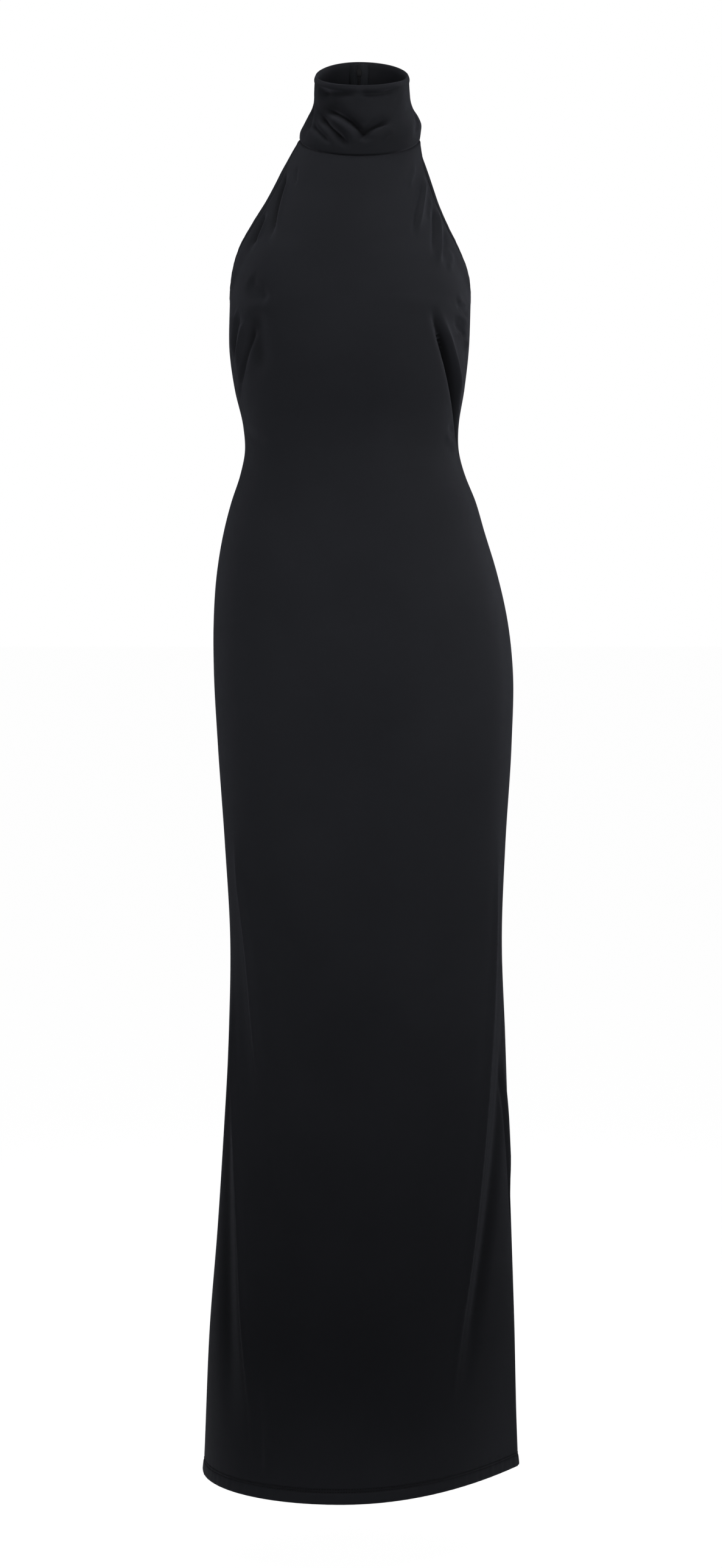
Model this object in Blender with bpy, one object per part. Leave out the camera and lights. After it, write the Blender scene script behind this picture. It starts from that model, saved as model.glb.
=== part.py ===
"""Halter-neck maxi dress, hollow as it is worn, built as the pieces a maker cuts and sews.

Frame: +Z up, the front faces -Y, +X is the viewer's right when looking at the front.
The origin is the middle of the neck seam, where the wearer's neck carries the dress.
The sizes and tables are in millimetres and degrees, and the meshes in metres.
"""

import math
from typing import NamedTuple

import bmesh
import bpy
import numpy as np
from mathutils import Matrix, Vector

MM = 0.001

# Cloth
WALL = 1.6  # the jersey, with its turned edges, as one wall
COLLAR_WALL = 2.4  # the stand collar is folded double over its top edge
COLLAR_LIP = 1.0  # how far the fold rounds up above the two faces
SEAM_GAP = 0.3  # between neighbouring pieces

# Heights
NECK_FRONT_Z = -20.0
NECK_SIDE_Z = 2.0
NECK_BACK_Z = 22.0
UNDERARM_Z = -168.0
BODICE_END_Z = -410.0  # the rows are closer together above this height
HEM_Z = -1445.0

# How finely each stretch of a panel is divided
YOKE_STEPS = 12
BODICE_STEPS = 12
WAIST_STEPS = 8  # of the bodice steps lie above the waist
SKIRT_STEPS = 18
FRONT_STEPS = 30  # across the front
BACK_STEPS = 14  # across each half of the back
COLLAR_STEPS = 10  # up the collar
COLLAR_FRONT_STEPS = 24  # round its front half
COLLAR_QUARTER_STEPS = 11  # round each half of its back
EDGE_CROWDING = 0.4  # share of the spacing that crowds towards a panel's edges
ARC_SAMPLES = 121
FOLD_SAMPLES = 33
TINY = 1e-9  # tells the middle of a left half from that of a right half
FOLD_FADE = 0.3  # share of a fold's length over which each of its ends dies away
SEAM_FADE = 14.0  # folds die away this far from a side seam
NECK_FADE = 9.0  # and this far from the neck seam
SHARP_ANGLE = 50.0  # edges that turn by more are shaded sharp

# Centre back zip
CLOSED_GAP = 0.6  # between the cloth edges along the closed zip
SLIDER_GAP = 2.0  # between them where the slider's neck passes
SLIDER_REACH = 7.0  # how far above and below the slider the edges part
SLIDER_SHARE = 0.86  # how far up the collar the slider stands
SLIDER_SPAN = 0.05  # share of the collar above and below it that gives its slope
ZIP_END_Z = -430.0
TAPE_TOP_SHARE = 0.15  # how far below the top edge a tape starts, as a share of the first row
TAPE_INSET = 0.9  # from the centre line to the near edge of a tape
TAPE_WIDTH = 10.0
TAPE_WALL = 1.0
TAPE_COLUMNS = 3  # points across a tape
TAPE_GAP = 0.3  # between a tape and the cloth it is sewn to

# Slider and pull tab, in the slider's frame: x across, y down the zip, z out from the collar
PLATE_GAP = 0.3  # between the slider's outer plate and the collar
PLATE_LENGTH = 7.0
PLATE_WIDTH = 4.8
PLATE_WALL = 1.0
NECK_LENGTH = 4.6
NECK_WIDTH = 0.9
BRIDGE_LENGTH = 7.0
BRIDGE_WIDTH = 1.2
BRIDGE_WALL = 1.0
BRIDGE_ROUND = 0.6  # of its outer corners
BRIDGE_CLEAR = 1.7  # height of the slot under the bridge
PIN_RADIUS = 0.5  # the bar of the pull tab that lies under the bridge
PIN_CLEAR = 0.35
EYE_LENGTH = 3.4  # from the pin to the far end of the eye
EYE_WIDTH = 2.0
EYE_SQUARE = 6  # 2 would make the eye an ellipse
TAB_WALL = 1.0
TAB_LENGTH = 22.0
TAB_REST_GAP = 0.5  # from the tip of the hanging tab to the collar
TAB_OUTLINE = (  # distance below the hinge and half width
    (-0.5, 1.6),
    (0.0, 2.1),
    (2.0, 2.2),
    (4.2, 2.2),
    (7.0, 1.9),
    (11.0, 2.2),
    (16.0, 2.8),
    (19.5, 2.8),
    (21.4, 2.0),
    (TAB_LENGTH, 0.9),
)


class Row(NamedTuple):
    """A line across a panel, from its left edge over its middle to its right edge.

    A fall of 1 makes that half a quarter ellipse in plan; less is squarer, and 2 is a parabola.
    """

    mid_z: float
    side_z: float
    mid_x: float
    mid_y: float
    left_x: float
    left_y: float
    left_fall: float
    right_x: float
    right_y: float
    right_fall: float


EDGE_COLUMNS = ("side_z", "left_x", "left_y", "right_x", "right_y")


class Ring(NamedTuple):
    """A level section of the dress below the underarm."""

    z: float
    left_x: float
    right_x: float
    left_y: float
    right_y: float
    front_x: float
    front_y: float
    back_y: float
    left_fall: float
    right_fall: float
    back_fall: float


class CollarRing(NamedTuple):
    """A ring of the collar, at a share of the way from the neck seam to the top edge."""

    share: float
    left_x: float
    right_x: float
    front_y: float
    side_y: float
    back_y: float


class Fold(NamedTuple):
    """A soft ridge, or a trough with a depth below 0, that bends through three places.

    Out is measured along the cloth from the panel's middle line, and z at that line's height.
    """

    out_a: float
    z_a: float
    out_b: float
    z_b: float
    out_c: float
    z_c: float
    width: float
    depth: float


RINGS = (
    #     z    left   right  l_y r_y  f_x front back  l_fall r_fall b_fall
    Ring(-168, -140.5, 117.5, 0, 0, -11, -130, 106, 0.80, 0.80, 0.90),
    Ring(-220, -141.0, 115.5, -3, -4, -12, -120, 93, 0.82, 0.82, 0.90),
    Ring(-260, -135.5, 111.0, -5, -6, -12, -107, 81, 0.88, 0.88, 0.92),
    Ring(-300, -126.5, 105.0, -5, -6, -11, -94, 74, 0.95, 0.95, 0.95),
    Ring(-325, -125.0, 105.5, -4, -5, -10, -89, 74, 1.00, 1.00, 0.98),
    Ring(-350, -130.0, 112.0, -2, -3, -9, -88, 79, 1.00, 1.00, 0.98),
    Ring(-380, -140.0, 124.0, 0, 0, -8, -90, 90, 0.95, 0.95, 0.95),
    Ring(-410, -148.0, 133.0, 3, 3, -7, -94, 101, 0.92, 0.92, 0.92),
    Ring(-455, -156.0, 147.0, 7, 7, -4, -98, 114, 0.90, 0.90, 0.90),
    Ring(-510, -160.0, 159.5, 10, 10, -1, -100, 123, 0.90, 0.90, 0.88),
    Ring(-560, -160.0, 165.0, 11, 11, 2, -100, 125, 0.90, 0.90, 0.88),
    Ring(-640, -156.0, 164.0, 10, 10, 4, -98, 118, 0.92, 0.92, 0.90),
    Ring(-750, -148.5, 157.5, 8, 8, 4, -95, 108, 0.95, 0.95, 0.92),
    Ring(-855, -143.0, 154.0, 7, 7, 5, -94, 104, 1.00, 1.00, 0.92),
    Ring(-960, -145.0, 158.0, 7, 8, 3, -96, 106, 1.00, 1.00, 0.92),
    Ring(-1070, -151.0, 162.0, 8, 10, 0, -100, 112, 1.00, 1.10, 0.92),
    Ring(-1175, -158.0, 166.0, 8, 13, -5, -104, 119, 1.00, 1.35, 0.92),
    Ring(-1285, -167.0, 170.0, 9, 16, -12, -109, 126, 1.00, 1.65, 0.94),
    Ring(-1395, -172.0, 173.0, 9, 19, -18, -113, 132, 1.00, 1.90, 0.96),
    Ring(-1445, -174.0, 175.0, 9, 20, -22, -115, 135, 1.00, 2.00, 0.98),
)

FRONT_YOKE = (
    #    mid_z side_z mid_x mid_y left_x l_y l_fall right_x r_y r_fall
    Row(-20, 2, -1, -62, -66, 0, 1.00, 63, 0, 1.00),
    Row(-36, -13, -2, -72, -76, -14, 1.35, 65.5, -14, 1.35),
    Row(-60, -39, -4, -86, -87.3, -31, 1.75, 72.4, -31, 1.75),
    Row(-82, -64, -7, -99, -100.3, -42, 1.85, 80.8, -42, 1.85),
    Row(-105, -90, -9, -111, -116.3, -46, 1.70, 91.9, -46, 1.70),
    Row(-127, -116, -11, -120, -130.2, -42, 1.40, 104.8, -42, 1.40),
    Row(-147, -141, -11, -126, -137.2, -31, 1.05, 114.5, -31, 1.05),
    Row(-160, -158, -11, -129, -140, -16, 0.88, 117, -16, 0.88),
)

BACK_YOKE = (
    Row(22, 2, -2, 62, -66, 0, 1.00, 63, 0, 1.00),
    Row(6, -13, -2, 72, -74, 18, 1.35, 65, 18, 1.35),
    Row(-22, -39, -3, 85, -84, 38, 1.70, 70, 38, 1.70),
    Row(-50, -64, -5, 95, -95, 51, 1.80, 78, 51, 1.80),
    Row(-80, -90, -7, 102, -108, 55, 1.60, 87, 55, 1.60),
    Row(-109, -116, -9, 106, -121, 52, 1.35, 98, 52, 1.35),
    Row(-137, -141, -11, 108, -132, 39, 1.05, 109, 39, 1.05),
    Row(-156, -158, -12, 107, -138, 22, 0.92, 115, 22, 0.92),
)

COLLAR_HEIGHT = 72.0  # along its face
COLLAR_FRONT_TOP_Z = 51.0
COLLAR_SIDE_TOP_Z = 70.0
COLLAR_BACK_TOP_Z = 94.0
COLLAR_RINGS = (
    #      share left right front side back
    CollarRing(0.00, -66.0, 63.0, -62.0, 0, 62.0),
    CollarRing(0.12, -65.0, 64.0, -64.0, -2, 59.0),
    CollarRing(0.24, -62.5, 65.0, -65.5, -4, 55.0),
    CollarRing(0.36, -59.0, 63.0, -66.0, -6, 50.5),
    CollarRing(0.48, -54.5, 57.5, -65.5, -8, 46.0),
    CollarRing(0.60, -51.0, 54.0, -65.0, -10, 42.0),
    CollarRing(0.75, -50.0, 52.0, -64.5, -12, 38.5),
    CollarRing(0.90, -49.5, 51.3, -65.0, -14, 36.0),
    CollarRing(1.00, -49.0, 51.0, -65.0, -15, 35.0),
)

FRONT_FOLDS = (
    #    out z, out z, out z, width, depth
    Fold(-95, -140, -82, -160, -66, -185, 46, 5.0),  # fullness over the left of the bust
    Fold(64, -140, 80, -160, 92, -185, 46, 5.0),
    Fold(92, -180, 114, -239, 150, -308, 11, -6.5),  # deep fold from the right of the bust
    Fold(110, -188, 128, -222, 157, -254, 9, 3.5),
    Fold(-118, -195, -130, -231, -153, -268, 11, -4.5),
    Fold(-150, -172, -148, -220, -166, -266, 9, 2.5),
    Fold(72, -36, 73, -74, 76, -112, 6, 1.6),  # strain lines from the right armhole
    Fold(90, -54, 82, -81, 76, -112, 6, 2.0),
    Fold(107, -82, 102, -114, 97, -146, 7, 2.2),
    Fold(-93, -48, -95, -82, -94, -115, 7, -2.2),  # and from the left one
    Fold(-110, -88, -118, -105, -123, -122, 6, -1.8),
    Fold(180, -690, 162, -960, 134, -1350, 26, 5.0),  # edge of the skirt's front plane
    Fold(200, -1000, 188, -1160, 172, -1330, 22, -4.0),
    Fold(-182, -880, -148, -1140, -114, -1400, 16, 4.5),
    Fold(-196, -990, -172, -1180, -146, -1380, 17, -4.5),
    Fold(-131, -980, -116, -1205, -97, -1420, 10, 1.6),
)
BACK_FOLDS = (
    Fold(-78, -70, -80, -105, -74, -145, 38, 4.0),  # over the shoulder blades
    Fold(74, -70, 76, -105, 70, -145, 38, 4.0),
    Fold(-84, -490, -86, -545, -78, -610, 62, 6.0),  # over the seat
    Fold(84, -490, 86, -545, 78, -610, 62, 6.0),
    Fold(-52, -296, -92, -318, -140, -330, 11, -3.0),  # slack at the small of the back
    Fold(60, -312, 96, -330, 138, -338, 11, -3.0),
    Fold(-70, -344, -104, -352, -142, -350, 10, -2.2),
    Fold(-176, -860, -160, -1130, -132, -1400, 19, 4.5),
    Fold(170, -820, 152, -1110, 128, -1400, 21, 4.5),
    Fold(-104, -1010, -92, -1210, -82, -1420, 15, -3.5),
    Fold(96, -1040, 88, -1230, 70, -1420, 15, -3.5),
)
# On the collar z is the height above the neck seam, and out is from the centre front or back.
COLLAR_FRONT_FOLDS = (
    Fold(-36, 47, -16, 30, 6, 17, 7, -2.6),
    Fold(2, 17, 15, 24, 31, 36, 7, -2.2),
    Fold(-60, 43, -37, 25, -12, 11, 7, -2.2),
    Fold(-76, 28, -58, 19, -38, 13, 6, -1.8),
    Fold(70, 46, 69, 32, 66, 18, 6, -1.8),
)
COLLAR_BACK_FOLDS = (
    Fold(-66, 44, -46, 30, -26, 20, 7, -2.0),
    Fold(68, 40, 50, 27, 28, 19, 7, -2.0),
)


def column(rows, name):
    """One column of a table."""
    return np.array([getattr(row, name) for row in rows], float)


def through(knots, values, at):
    """A smooth curve through the values at rising knots, read at the places given."""
    slopes = np.gradient(values, knots)
    i = np.clip(np.searchsorted(knots, at) - 1, 0, len(knots) - 2)
    step = knots[i + 1] - knots[i]
    t = np.clip((at - knots[i]) / step, 0, 1)
    from_start = values[i] * (1 + 2 * t) + slopes[i] * step * t
    from_end = values[i + 1] * (3 - 2 * t) + slopes[i + 1] * step * (t - 1)
    return from_start * (1 - t) ** 2 + from_end * t**2


def soft_step(value):
    """0 below 0, 1 above 1 and smooth between."""
    value = np.clip(value, 0, 1)
    return value * value * (3 - 2 * value)


def front_rows():
    """The rows of the front, from the neck seam to the hem."""
    body = []
    for r in RINGS:
        left = (r.left_x, r.left_y, r.left_fall)
        right = (r.right_x, r.right_y, r.right_fall)
        body.append(Row(r.z, r.z, r.front_x, r.front_y, *left, *right))
    return FRONT_YOKE + tuple(body)


def back_rows():
    """The rows of the back, whose side edges below the underarm are those of the front."""
    body = []
    for r in RINGS:
        middle = (r.left_x + r.right_x) / 2
        left = (r.left_x, r.left_y, r.back_fall)
        right = (r.right_x, r.right_y, r.back_fall)
        body.append(Row(r.z, r.z, middle, r.back_y, *left, *right))
    return BACK_YOKE + tuple(body)


def row_at(rows, mid_z):
    """The row whose middle is at a height, read between the rows of a table.

    Below the underarm the side edges are read from the level rows alone, so that the front's
    edges are the back's.
    """
    level = rows[-len(RINGS) :] if mid_z <= UNDERARM_Z else rows
    values = []
    for name in Row._fields:
        table = level if name in EDGE_COLUMNS else rows
        values.append(through(-column(table, "mid_z"), column(table, name), -mid_z))
    return Row(*values)


def half_row(row, side):
    """The points of one half of a row from its middle, and their distances along the cloth."""
    edge_x, edge_y, fall = (row.left_x, row.left_y, row.left_fall)
    if side > 0:
        edge_x, edge_y, fall = (row.right_x, row.right_y, row.right_fall)
    turn = np.linspace(0, math.pi / 2, ARC_SAMPLES)
    depth = np.clip(np.cos(turn), 0, 1)
    points = np.column_stack(
        [
            row.mid_x + (edge_x - row.mid_x) * np.sin(turn),
            edge_y + (row.mid_y - edge_y) * depth**fall,
            row.side_z + (row.mid_z - row.side_z) * depth,
        ]
    )
    steps = np.linalg.norm(np.diff(points, axis=0), axis=1)
    return points, np.concatenate([[0], np.cumsum(steps)])


def row_points(row, shares, near, trim):
    """Points across a row and their distances out from its middle.

    A share of -1 is the left edge, 0 the middle and 1 the right edge. The row starts at a
    distance near from its middle, and trim shortens it at its edges.
    """
    points = np.empty((len(shares), 3))
    out = np.empty(len(shares))
    for side in (-1, 1):
        line, along = half_row(row, side)
        here = shares < 0 if side < 0 else shares >= 0
        at = near + np.abs(shares[here]) * (along[-1] - trim - near)
        points[here] = np.column_stack([np.interp(at, along, line[:, axis]) for axis in range(3)])
        out[here] = side * at
    return points, out


def fold_lift(folds, out, z):
    """How far the folds lift the cloth at places given by their distance out and height."""
    lift = np.zeros(np.broadcast(out, z).shape)
    t = np.linspace(0, 1, FOLD_SAMPLES)
    for fold in folds:
        path_out = bent(fold.out_a, fold.out_b, fold.out_c, t)
        path_z = bent(fold.z_a, fold.z_b, fold.z_c, t)
        fade = soft_step(t / FOLD_FADE) * soft_step((1 - t) / FOLD_FADE)
        away = np.hypot(out[..., None] - path_out, z[..., None] - path_z) / fold.width
        nearest = away.argmin(axis=-1)
        lift += fold.depth * fade[nearest] * np.exp(-(away.min(axis=-1) ** 2))
    return lift


def bent(a, b, c, t):
    """A parabola through a, b and c at t = 0, a half and 1."""
    return a * (1 - t) * (1 - 2 * t) + b * 4 * t * (1 - t) + c * t * (2 * t - 1)


def normals_of(grid):
    """The outward normals of a grid whose first axis runs down and second to the viewer's right."""
    normal = np.cross(np.gradient(grid, axis=0), np.gradient(grid, axis=1))
    return normal / np.linalg.norm(normal, axis=-1, keepdims=True)


def crowded(start, end, steps):
    """Shares from start to end, closer together towards both ends."""
    t = np.linspace(-1, 1, steps + 1)
    t = (1 - EDGE_CROWDING) * t + EDGE_CROWDING * np.sin(t * math.pi / 2)
    return start + (end - start) * (t + 1) / 2


def body_heights():
    """The heights of the level rows below the underarm."""
    bodice = np.linspace(UNDERARM_Z, BODICE_END_Z, BODICE_STEPS + 1)
    return np.concatenate([bodice, np.linspace(BODICE_END_Z, HEM_Z, SKIRT_STEPS + 1)[1:]])


def panel_heights(top_z):
    """The heights at the middle of a panel's rows, from its neck seam to the hem."""
    yoke = np.linspace(top_z - SEAM_GAP / 2, UNDERARM_Z, YOKE_STEPS + 1)[:-1]
    return np.concatenate([yoke, body_heights()])


def panel_skin(rows, folds, heights, shares, near):
    """A panel's outer face as a grid of points, with its folds pressed in."""
    lines = [row_points(row_at(rows, z), shares, near, SEAM_GAP / 2) for z in heights]
    grid = np.array([points for points, _ in lines])
    out = np.array([distances for _, distances in lines])
    edges = np.abs(out).max(axis=1, keepdims=True)
    sewn = soft_step((UNDERARM_Z + SEAM_FADE - heights) / SEAM_FADE)[:, None]
    still = 1 - sewn * (1 - soft_step((edges - np.abs(out)) / SEAM_FADE))
    still = still * soft_step((heights[0] - heights) / NECK_FADE)[:, None]
    if near:
        still = still * soft_step((np.abs(out) - TAPE_WIDTH) / SEAM_FADE)
    lift = fold_lift(folds, out, np.broadcast_to(heights[:, None], out.shape)) * still
    return grid + normals_of(grid) * lift[..., None]


def collar_row(share, front):
    """The front or the back half of the collar's ring at a share of its height."""
    knots = column(COLLAR_RINGS, "share")
    values = [through(knots, column(COLLAR_RINGS, name), share) for name in CollarRing._fields]
    ring = CollarRing(*values)
    side_z = NECK_SIDE_Z + (COLLAR_SIDE_TOP_Z - NECK_SIDE_Z) * share
    if front:
        low_z, top_z = NECK_FRONT_Z, COLLAR_FRONT_TOP_Z
        middle = (FRONT_YOKE[0].mid_x, ring.front_y)
    else:
        low_z, top_z = NECK_BACK_Z, COLLAR_BACK_TOP_Z
        middle = (BACK_YOKE[0].mid_x, ring.back_y)
    left = (ring.left_x, ring.side_y, 1)
    right = (ring.right_x, ring.side_y, 1)
    return Row(low_z + (top_z - low_z) * share, side_z, *middle, *left, *right)


def collar_gap(share):
    """Half the gap at the centre back of the collar, which widens round the slider."""
    away = (share - SLIDER_SHARE) * COLLAR_HEIGHT / SLIDER_REACH
    return (CLOSED_GAP + (SLIDER_GAP - CLOSED_GAP) * math.exp(-away * away)) / 2


def collar_skin():
    """The collar's outer face, from the centre back round its left side and front to the centre back."""
    up = np.linspace(1, SEAM_GAP / 2 / COLLAR_HEIGHT, COLLAR_STEPS + 1)
    quarter = np.linspace(0, 1, COLLAR_QUARTER_STEPS + 1)
    stretches = (
        (False, -quarter[:-1] - TINY, COLLAR_BACK_FOLDS),
        (True, np.linspace(-1, 1, COLLAR_FRONT_STEPS + 1), COLLAR_FRONT_FOLDS),
        (False, quarter[::-1][1:], COLLAR_BACK_FOLDS),
    )
    grids = []
    lifts = []
    for front, shares, folds in stretches:
        lines = [row_points(collar_row(s, front), shares, 0 if front else collar_gap(s), 0) for s in up]
        out = np.array([distances for _, distances in lines])
        height = np.broadcast_to(up[:, None] * COLLAR_HEIGHT, out.shape)
        grids.append(np.array([points for points, _ in lines]))
        lifts.append(fold_lift(folds, out, height) * soft_step(height / NECK_FADE))
    grid = np.concatenate(grids, axis=1)
    lift = np.concatenate(lifts, axis=1)
    return grid + normals_of(grid) * lift[..., None]


def share_normals(first, second):
    """Gives two edges that are sewn together one set of normals."""
    both = first + second
    both /= np.linalg.norm(both, axis=1, keepdims=True)
    first[:] = both
    second[:] = both


class Cloth(NamedTuple):
    """The outer face of a piece of cloth, its outward normals and its wall."""

    points: np.ndarray
    normals: np.ndarray
    wall: float


def make_cloth():
    """Every cloth piece's outer face, with walls that meet square at the seams."""
    heights = panel_heights(NECK_BACK_Z)
    half = crowded(0, 1, BACK_STEPS)
    faces = {
        "front": panel_skin(
            front_rows(), FRONT_FOLDS, panel_heights(NECK_FRONT_Z), crowded(-1, 1, FRONT_STEPS), 0
        ),
        "back_left": panel_skin(back_rows(), BACK_FOLDS, heights, -half - TINY, CLOSED_GAP / 2),
        "back_right": panel_skin(back_rows(), BACK_FOLDS, heights, half[::-1], CLOSED_GAP / 2),
        "collar": collar_skin(),
    }
    normals = {name: normals_of(points) for name, points in faces.items()}
    below = slice(YOKE_STEPS, None)
    share_normals(normals["front"][below, 0], normals["back_left"][below, -1])
    share_normals(normals["front"][below, -1], normals["back_right"][below, 0])
    share_normals(normals["back_left"][:, 0], normals["back_right"][:, -1])
    share_normals(normals["collar"][:, 0], normals["collar"][:, -1])
    walls = {"collar": COLLAR_WALL}
    return {name: Cloth(faces[name], normals[name], walls.get(name, WALL)) for name in faces}


def divided(cloth):
    """A panel's parts above and below the waist, a seam's gap apart."""
    waist = YOKE_STEPS + WAIST_STEPS
    parts = []
    for rows, edge, after in ((slice(None, waist + 1), -1, -2), (slice(waist, None), 0, 1)):
        points = cloth.points[rows].copy()
        step = points[after] - points[edge]
        points[edge] += step * SEAM_GAP / 2 / np.linalg.norm(step, axis=1, keepdims=True)
        parts.append(Cloth(points, cloth.normals[rows], cloth.wall))
    return parts


def strip_of(cloth, near, far):
    """Points and normals of a narrow strip along a piece's first column, from near to far."""
    points = []
    normals = []
    for line, turned in zip(cloth.points, cloth.normals):
        along = np.concatenate([[0], np.cumsum(np.linalg.norm(np.diff(line, axis=0), axis=1))])
        at = np.linspace(near, far, TAPE_COLUMNS)
        points.append([[np.interp(d, along, line[:, k]) for k in range(3)] for d in at])
        normals.append([[np.interp(d, along, turned[:, k]) for k in range(3)] for d in at])
    return np.array(points), np.array(normals)


def tape(name, collar, back, material):
    """One tape of the zip, against the inside of the collar and of the back beside its opening."""
    near = TAPE_INSET - CLOSED_GAP / 2
    upper, upper_normals = strip_of(collar, near, near + TAPE_WIDTH)
    lower, lower_normals = strip_of(back, near, near + TAPE_WIDTH)
    count = int(np.sum(back.points[:, 0, 2] >= ZIP_END_Z))
    upper[0] = upper[0] + (upper[1] - upper[0]) * TAPE_TOP_SHARE
    points = np.concatenate([upper, lower[1:count]])
    normals = np.concatenate([upper_normals, lower_normals[1:count]])
    inset = np.full(len(points), back.wall + TAPE_GAP)
    inset[: len(upper)] = collar.wall + TAPE_GAP
    outer = points - normals * inset[:, None, None]
    return solid(name, walled(outer, normals, TAPE_WALL), material)


def mirrored(cloth):
    """A piece with its columns counted from the other edge."""
    return Cloth(cloth.points[:, ::-1], cloth.normals[:, ::-1], cloth.wall)


def solid(name, sections, material):
    """A closed solid from sections that each run down one face and back up the other."""
    count, size = sections.shape[:2]
    half = size // 2
    faces = []
    for j in range(count - 1):
        for s in range(size):
            a = j * size + s
            b = j * size + (s + 1) % size
            faces.append((a, b, b + size, a + size))
    for start in (0, (count - 1) * size):
        for s in range(half - 1):
            faces.append([start + k for k in (s, s + 1, 2 * half - 2 - s, 2 * half - 1 - s)])
        if size > 2 * half:
            faces.append([start + k for k in (0, 2 * half - 1, 2 * half)])
    mesh = bpy.data.meshes.new(name)
    mesh.from_pydata((sections.reshape(-1, 3) * MM).tolist(), [], faces)
    return finished(name, mesh, material)


def finished(name, mesh, material):
    """An object of a closed mesh, with its faces out and its round faces shaded smooth."""
    shape = bmesh.new()
    shape.from_mesh(mesh)
    bmesh.ops.recalc_face_normals(shape, faces=shape.faces)
    if shape.calc_volume(signed=True) < 0:
        bmesh.ops.reverse_faces(shape, faces=shape.faces)
    shape.to_mesh(mesh)
    shape.free()
    mesh.shade_smooth()
    mesh.set_sharp_from_angle(angle=math.radians(SHARP_ANGLE))
    mesh.materials.append(material)
    item = bpy.data.objects.new(name, mesh)
    bpy.context.scene.collection.objects.link(item)
    return item


def walled(outer, normals, wall, lip=0.0):
    """Sections of a wall inside a grid of outer points, with a round top edge where a lip is given."""
    inner = outer - normals * np.asarray(wall)[..., None]
    sections = np.concatenate([outer, inner[::-1]])
    if lip:
        up = outer[0] - outer[1]
        up /= np.linalg.norm(up, axis=1, keepdims=True)
        sections = np.concatenate([sections, ((outer[0] + inner[0]) / 2 + up * lip)[None]])
    return sections.transpose(1, 0, 2)


def make_material(name, colour, roughness, metallic=0.0):
    """A plain surface with a colour in linear light."""
    material = bpy.data.materials.new(name)
    material.use_nodes = True
    surface = material.node_tree.nodes["Principled BSDF"]
    surface.inputs["Base Color"].default_value = (*colour, 1)
    surface.inputs["Roughness"].default_value = roughness
    surface.inputs["Metallic"].default_value = metallic
    return material


def zip_frame():
    """Where the slider stands: x across, y down the zip and z out from the collar, in metres."""
    above = collar_row(SLIDER_SHARE + SLIDER_SPAN, False)
    below = collar_row(SLIDER_SHARE - SLIDER_SPAN, False)
    here = collar_row(SLIDER_SHARE, False)
    down = Vector((0, below.mid_y - above.mid_y, below.mid_z - above.mid_z)).normalized()
    across = Vector((1, 0, 0))
    out = across.cross(down)
    frame = Matrix((across, down, out)).transposed().to_4x4()
    frame.translation = Vector((here.mid_x, here.mid_y, here.mid_z)) * MM
    return frame


def box(name, low, high, material):
    """A box between two corners in millimetres."""
    mesh = bpy.data.meshes.new(name)
    shape = bmesh.new()
    bmesh.ops.create_cube(shape, size=1)
    size = Vector(high) - Vector(low)
    centre = (Vector(high) + Vector(low)) / 2
    place = Matrix.Translation(centre * MM) @ Matrix.Diagonal((*(size * MM), 1))
    bmesh.ops.transform(shape, matrix=place, verts=shape.verts)
    shape.to_mesh(mesh)
    shape.free()
    return finished(name, mesh, material)


def make_slider(frame, material):
    """The zip's slider: an outer and an inner plate, the neck between them and the pull's bridge."""
    inside = COLLAR_WALL + 2 * TAPE_GAP + TAPE_WALL
    half = PLATE_LENGTH / 2
    wide = PLATE_WIDTH / 2
    slider = box(
        "zip_slider", (-wide, -half, PLATE_GAP), (wide, half, PLATE_GAP + PLATE_WALL), material
    )
    inner = box(
        "inner_plate", (-wide, -half, -inside - PLATE_WALL), (wide, half, -inside), material
    )
    neck = box(
        "neck",
        (-NECK_WIDTH / 2, -NECK_LENGTH / 2, -inside - PLATE_WALL / 2),
        (NECK_WIDTH / 2, NECK_LENGTH / 2, PLATE_GAP + PLATE_WALL / 2),
        material,
    )
    for helper in (inner, neck, make_bridge(material)):
        helper.hide_render = True
        helper.display_type = "WIRE"
        helper.parent = slider
        join = slider.modifiers.new(helper.name, "BOOLEAN")
        join.operation = "UNION"
        join.object = helper
    slider.matrix_world = frame
    return slider


def make_bridge(material):
    """The small arch over the slider that holds its pull tab."""
    base = PLATE_GAP + PLATE_WALL / 2
    under = PLATE_GAP + PLATE_WALL + BRIDGE_CLEAR
    top = under + BRIDGE_WALL
    outer = BRIDGE_LENGTH / 2
    inner = outer - BRIDGE_WALL
    outline = (
        (-outer, base),
        (-outer, top - BRIDGE_ROUND),
        (-outer + BRIDGE_ROUND, top),
        (outer - BRIDGE_ROUND, top),
        (outer, top - BRIDGE_ROUND),
        (outer, base),
        (inner, base),
        (inner, under),
        (-inner, under),
        (-inner, base),
    )
    shape = bmesh.new()
    corners = [shape.verts.new((-BRIDGE_WIDTH / 2 * MM, y * MM, z * MM)) for y, z in outline]
    face = shape.faces.new(corners)
    moved = bmesh.ops.extrude_face_region(shape, geom=[face])["geom"]
    across = Vector((BRIDGE_WIDTH * MM, 0, 0))
    bmesh.ops.translate(shape, vec=across, verts=[v for v in moved if isinstance(v, bmesh.types.BMVert)])
    mesh = bpy.data.meshes.new("bridge")
    shape.to_mesh(mesh)
    shape.free()
    return finished("bridge", mesh, material)


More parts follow.
